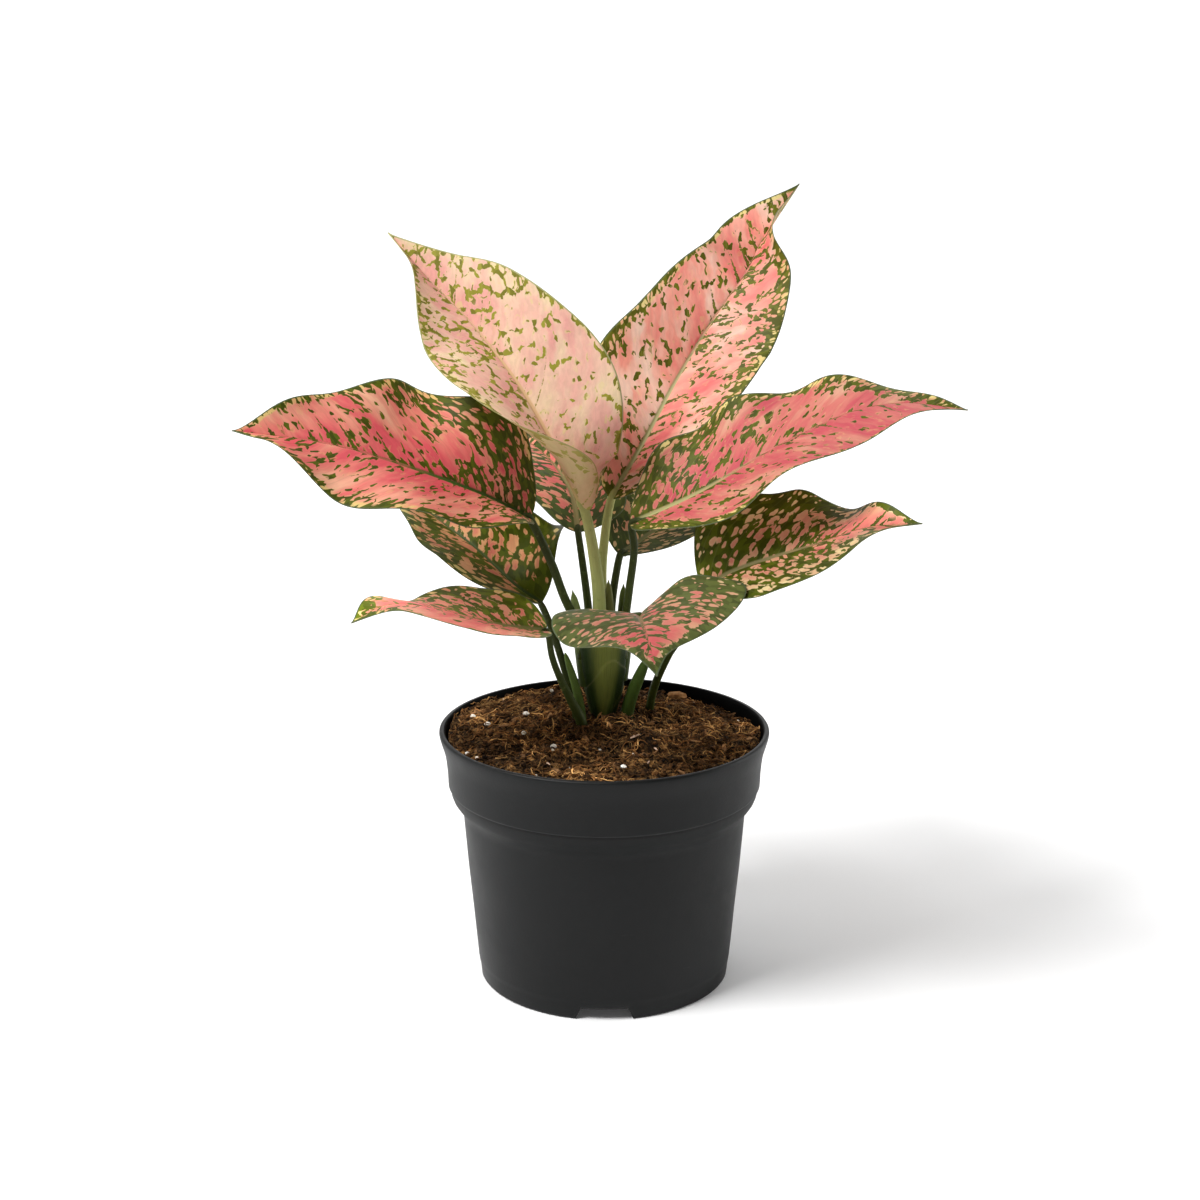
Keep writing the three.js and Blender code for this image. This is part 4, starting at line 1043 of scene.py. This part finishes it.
def soil_piece():
    """The soil's crumbled top as a polar grid, closed below."""
    rings, columns = 150, 420
    radius = np.concatenate([[0.8], np.linspace(2, SOIL_EDGE_RADIUS, rings - 1)])[:, None]
    turn = np.linspace(0, 2 * np.pi, columns, endpoint=False)[None, :]
    x, y = radius * np.cos(turn), radius * np.sin(turn)
    z = soil_relief(x, y) - 0.8 * smooth_step(radius, SOIL_EDGE_RADIUS - 1.4, SOIL_EDGE_RADIUS)
    x, y = np.vstack([x, 0.96 * x[-1]]), np.vstack([y, 0.96 * y[-1]])
    z = np.vstack([z, np.full(columns, SOIL_UNDERSIDE)])
    ends = [[0, 0, soil_relief(0.0, 0.0)], [0, 0, SOIL_UNDERSIDE]]
    closed_grid("soil_top", np.stack([x, y, z], -1), ends, soil_material(), "soil",
                flip=True)


def scatter(rng, count, gather=0.0, outer=65.2):
    """Seeded places on the soil, clear of the cane: even by area, or gathered in patches, where the
    third of the places that stands highest in a slow noise is kept."""
    turn = rng.uniform(0, 2 * np.pi, 3 * count)
    reach = np.sqrt(rng.uniform(BIT_CLEAR ** 2, outer ** 2, 3 * count))
    x, y = reach * np.cos(turn), reach * np.sin(turn)
    rank = rng.uniform(0, 1, 3 * count) - gather * value_noise(x, y, 11.0, 31)
    keep = np.argsort(rank)[:count]
    return x[keep], y[keep]


def strands(name, rng, count, length, thickness, lift, material, gather, sides=4, steps=9):
    """Curled fibres that lie on the soil: arcs of random bend, raised in the middle, thin at both
    ends."""
    x0, y0 = scatter(rng, count, gather)
    u = np.linspace(-0.5, 0.5, steps)[None, :]
    each = lambda values: values[:, None]
    span = each(rng.uniform(*length, count))
    heading = each(rng.uniform(0, 2 * np.pi, count))
    bend = each(rng.normal(0, 1.6, count))
    sway = each(rng.normal(0, 0.9, count))
    angle = heading + bend * u + sway * np.sin(5 * u)
    x = each(x0) + np.cumsum(np.cos(angle), 1) * span / steps
    y = each(y0) + np.cumsum(np.sin(angle), 1) * span / steps
    limit = np.minimum(1, BIT_LIMIT / np.hypot(x, y))
    x, y = x * limit, y * limit
    arch = each(rng.uniform(*lift, count)) * (1 - (2 * u) ** 2)
    tip = each(rng.uniform(-0.4, 1.6, count)) * (u + 0.5) ** 2
    path = np.stack([x, y, soil_relief(x, y) + 0.25 + arch + tip], -1)
    way = unit(np.gradient(path, axis=1))
    aside = unit(np.cross(way, UP))
    over = np.cross(aside, way)
    radius = each(rng.uniform(*thickness, count)) / 2 * (1 - (2 * np.abs(u)) ** 3 * 0.8)
    turn = np.linspace(0, 2 * np.pi, sides, endpoint=False)
    ring = (path[:, :, None] + aside[:, :, None] * (radius[..., None] * np.cos(turn))[..., None]
            + over[:, :, None] * (radius[..., None] * np.sin(turn))[..., None])
    block = steps * sides
    starts = np.arange(count) * block
    tube = grid_faces(steps, sides, closed=True, flip=True)
    faces = copied(tube, starts).tolist()
    for start in starts:
        faces.append([start + j for j in range(sides)])
        faces.append([start + block - 1 - j for j in range(sides)])
    tint = np.repeat(rng.uniform(0, 1, count), block)
    along = np.tile(np.repeat(u[0] + 0.5, sides), count)
    field = np.stack([tint, along, 0 * along], -1)
    mesh_piece(name, ring.reshape(-1, 3), faces, material, [], {"bit": field})


def round_seed():
    """Points and faces of a ball: an octahedron whose faces are split in four."""
    points = [np.array(p, float) for p in ((1, 0, 0), (-1, 0, 0), (0, 1, 0), (0, -1, 0), (0, 0, 1),
                                           (0, 0, -1))]
    faces = [(0, 2, 4), (2, 1, 4), (1, 3, 4), (3, 0, 4), (2, 0, 5), (1, 2, 5), (3, 1, 5), (0, 3, 5)]
    middles = {}

    def middle(a, b):
        key = (min(a, b), max(a, b))
        if key not in middles:
            middles[key] = len(points)
            points.append(unit(points[a] + points[b]))
        return middles[key]

    split = []
    for a, b, c in faces:
        ab, bc, ca = middle(a, b), middle(b, c), middle(c, a)
        split += [(a, ab, ca), (ab, b, bc), (ca, bc, c), (ab, bc, ca)]
    return np.array(points), np.array(split)


def turned(a, b, angle):
    """Two coordinates turned by an angle."""
    return a * np.cos(angle) - b * np.sin(angle), a * np.sin(angle) + b * np.cos(angle)


def lumps(name, rng, count, size, stretch, rough, material):
    """Loose bits: balls stretched along random axes, roughened point by point, turned at random,
    and sunk by a fifth."""
    ball, one = round_seed()
    x, y = scatter(rng, count, outer=65.0)
    each = lambda values: values[:, None]
    scale = each(rng.uniform(*size, count)) / 2 * np.stack(
        [rng.uniform(*pair, count) for pair in stretch], -1)
    spread = 1 + rough * rng.normal(0, 1, (count, len(ball)))
    body = ball[None] * spread[..., None] * scale[:, None]
    yaw = each(rng.uniform(0, 2 * np.pi, count))
    pitch = each(rng.normal(0, 0.45, count))
    pitched_x, pitched_z = turned(body[..., 0], body[..., 2], -pitch)
    px, py = turned(pitched_x, body[..., 1], yaw)
    pz = pitched_z + each(soil_relief(x, y) + 0.6 * scale[:, 2])
    points = np.stack([px + each(x), py + each(y), pz], -1).reshape(-1, 3)
    faces = copied(one, np.arange(count) * len(ball))
    tint = np.repeat(rng.uniform(0, 1, count), len(ball))
    field = np.stack([tint, 0 * tint, 0 * tint], -1)
    mesh_piece(name, points, faces, material, [], {"bit": field}, False)


def chip_piece(name, place, size, heading, paint):
    """One larger bit laid on the soil at its own place: a flat ball, roughened, turned by its
    heading in degrees. `paint` holds its two tones."""
    ball, faces = round_seed()
    rng = np.random.default_rng(len(name))
    body = ball * (1 + 0.07 * rng.normal(0, 1, (len(ball), 1))) * np.array(size) / 2
    x, y = turned(body[:, 0], body[:, 1], math.radians(heading))
    z = body[:, 2] + soil_relief(*place[:2]) + 0.35 * size[2] + place[2]
    field = np.zeros((len(ball), 3)) + np.array([0.65, 0, 0])
    material = grain_material(name, *paint, scale=500.0, damp=0.0)
    mesh_piece(name, np.stack([place[0] + x, place[1] + y, z], -1), faces, material, [],
               {"bit": field}, False)


# Stage

def floor_piece():
    """Pale floor that sweeps up behind."""
    bend = np.linspace(0.1, math.pi / 2, 14)
    sweep = [(2.6 + 1.2 * math.sin(a), 1.2 - 1.2 * math.cos(a)) for a in bend]
    profile = [(-3.0, 0.0), (2.6, 0.0), *sweep, (3.8, 5.0)]
    points = [(x, y, z - 0.0001) for y, z in profile for x in (-6.0, 6.0)]
    faces = [(2 * k, 2 * k + 1, 2 * k + 3, 2 * k + 2) for k in range(len(profile) - 1)]
    mesh = bpy.data.meshes.new("floor")
    mesh.from_pydata(points, [], faces)
    mesh.polygons.foreach_set("use_smooth", np.full(len(mesh.polygons), True))
    net = Net("paper floor")
    tone = net.step(net.noise(net.place(), 3.0), 0.3, 0.7, 0.90, 0.92)
    mesh.materials.append(net.finish(net.join(tone, tone, tone), 0.9, 0.1,
                                     Emission_Color=(1.0, 1.0, 1.0), Emission_Strength=0.04))
    floor = linked("floor", mesh)
    floor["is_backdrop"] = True


def studio():
    """One large soft key at the left, weaker fills, a dim world, and the camera."""
    for name, (place, target, size, energy) in LIGHTS.items():
        data = bpy.data.lights.new(name, "AREA")
        data.shape = "SQUARE"
        data.size = size
        data.energy = energy
        light = linked(name, data)
        light.location = place
        x, y, z = np.array(target) - np.array(place)
        light.rotation_euler = (math.atan2(math.hypot(x, y), -z), 0, math.atan2(-x, y))
    world = bpy.data.worlds.new("studio")
    world.use_nodes = True
    colour, strength = world.node_tree.nodes["Background"].inputs[:2]
    colour.default_value = (1, 1, 1, 1)
    strength.default_value = WORLD_STRENGTH
    scene = bpy.context.scene
    scene.world = world
    scene.view_settings.view_transform = "Standard"
    data = bpy.data.cameras.new("camera")
    data.lens = CAMERA_LENS
    data.sensor_width = 36.0
    data.clip_start = 0.01
    camera = linked("camera", data)
    camera.location = CAMERA_PLACE
    camera.rotation_euler = (math.radians(90 - CAMERA_DROP), 0, 0)
    scene.camera = camera


# The plant

floor_piece()
studio()
pot_piece()
soil_piece()
rng = np.random.default_rng(17)
ochre = grain_material("ochre coir", (0.30, 0.135, 0.042), (0.90, 0.52, 0.19), 0.8)
brown = grain_material("brown coir", (0.045, 0.020, 0.007), (0.37, 0.17, 0.055), 0.85)
peat = grain_material("peat crumbs", (0.008, 0.004, 0.002), (0.19, 0.088, 0.030))
bark = grain_material("bark", (0.07, 0.035, 0.016), (0.40, 0.21, 0.09))
perlite = grain_material("perlite", (0.80, 0.72, 0.60), (1.0, 0.95, 0.85), damp=0.0)
strands("fine_coir", rng, 620, (3, 12), (0.25, 0.5), (0.0, 0.9), ochre, 1.2)
strands("brown_coir", rng, 900, (4, 14), (0.3, 0.7), (0.0, 1.1), brown, 0.3)
strands("long_coir", rng, 34, (12, 26), (0.3, 0.6), (0.3, 2.0), ochre, 0.6, steps=17)
lumps("crumbs", rng, 1500, (0.9, 2.6), ((0.8, 1.3), (0.7, 1.1), (0.5, 0.9)), 0.12, peat)
lumps("bark_chips", rng, 150, (2.0, 5.5), ((0.9, 1.4), (0.35, 0.6), (0.14, 0.26)), 0.10, bark)
lumps("perlite", rng, 16, (1.2, 2.1), ((0.85, 1.15), (0.8, 1.1), (0.7, 1.0)), 0.07, perlite)
for chip in CHIPS:
    chip_piece(*chip)
for k, grain in enumerate(WHITE_GRAINS):
    chip_piece(f"white_grain_{k + 1}", *grain, WHITE)
cane_piece()
dark_stalk, pale_stalk = stalk_material("stalk"), stalk_material("pale stalk", 0.1)
for order, (key, leaf) in enumerate(LEAVES.items()):
    scales = {name: row[order] for name, row in LOOK_SCALES.items()}
    leaf_piece(key, leaf, {**LOOK, **LOOKS[key], **scales}, order + 1)
    stalk_piece(key, leaf, pale_stalk if key in ("1", "2") else dark_stalk)
for key, (path, low, high) in SHOOTS.items():
    stem_tube(key + "_spear", path,
              lambda t: (low + (high - low) * t) * np.sqrt(np.clip(1 - t ** 9, 0.02, 1)),
              stalk_material(key), key)
for key, (path, low, high) in SHEATHS.items():
    stem_tube(key, path,
              lambda t: (high + (low - high) * (1 - t ** 2.6)
                         - 0.8 * high * smooth_step(t, 0.9, 1.0)),
              stalk_material(key), "cane")

({"cad": [list(map(float, corner)) for corner in cad_box],
           "visual": [list(map(float, corner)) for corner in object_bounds()]})
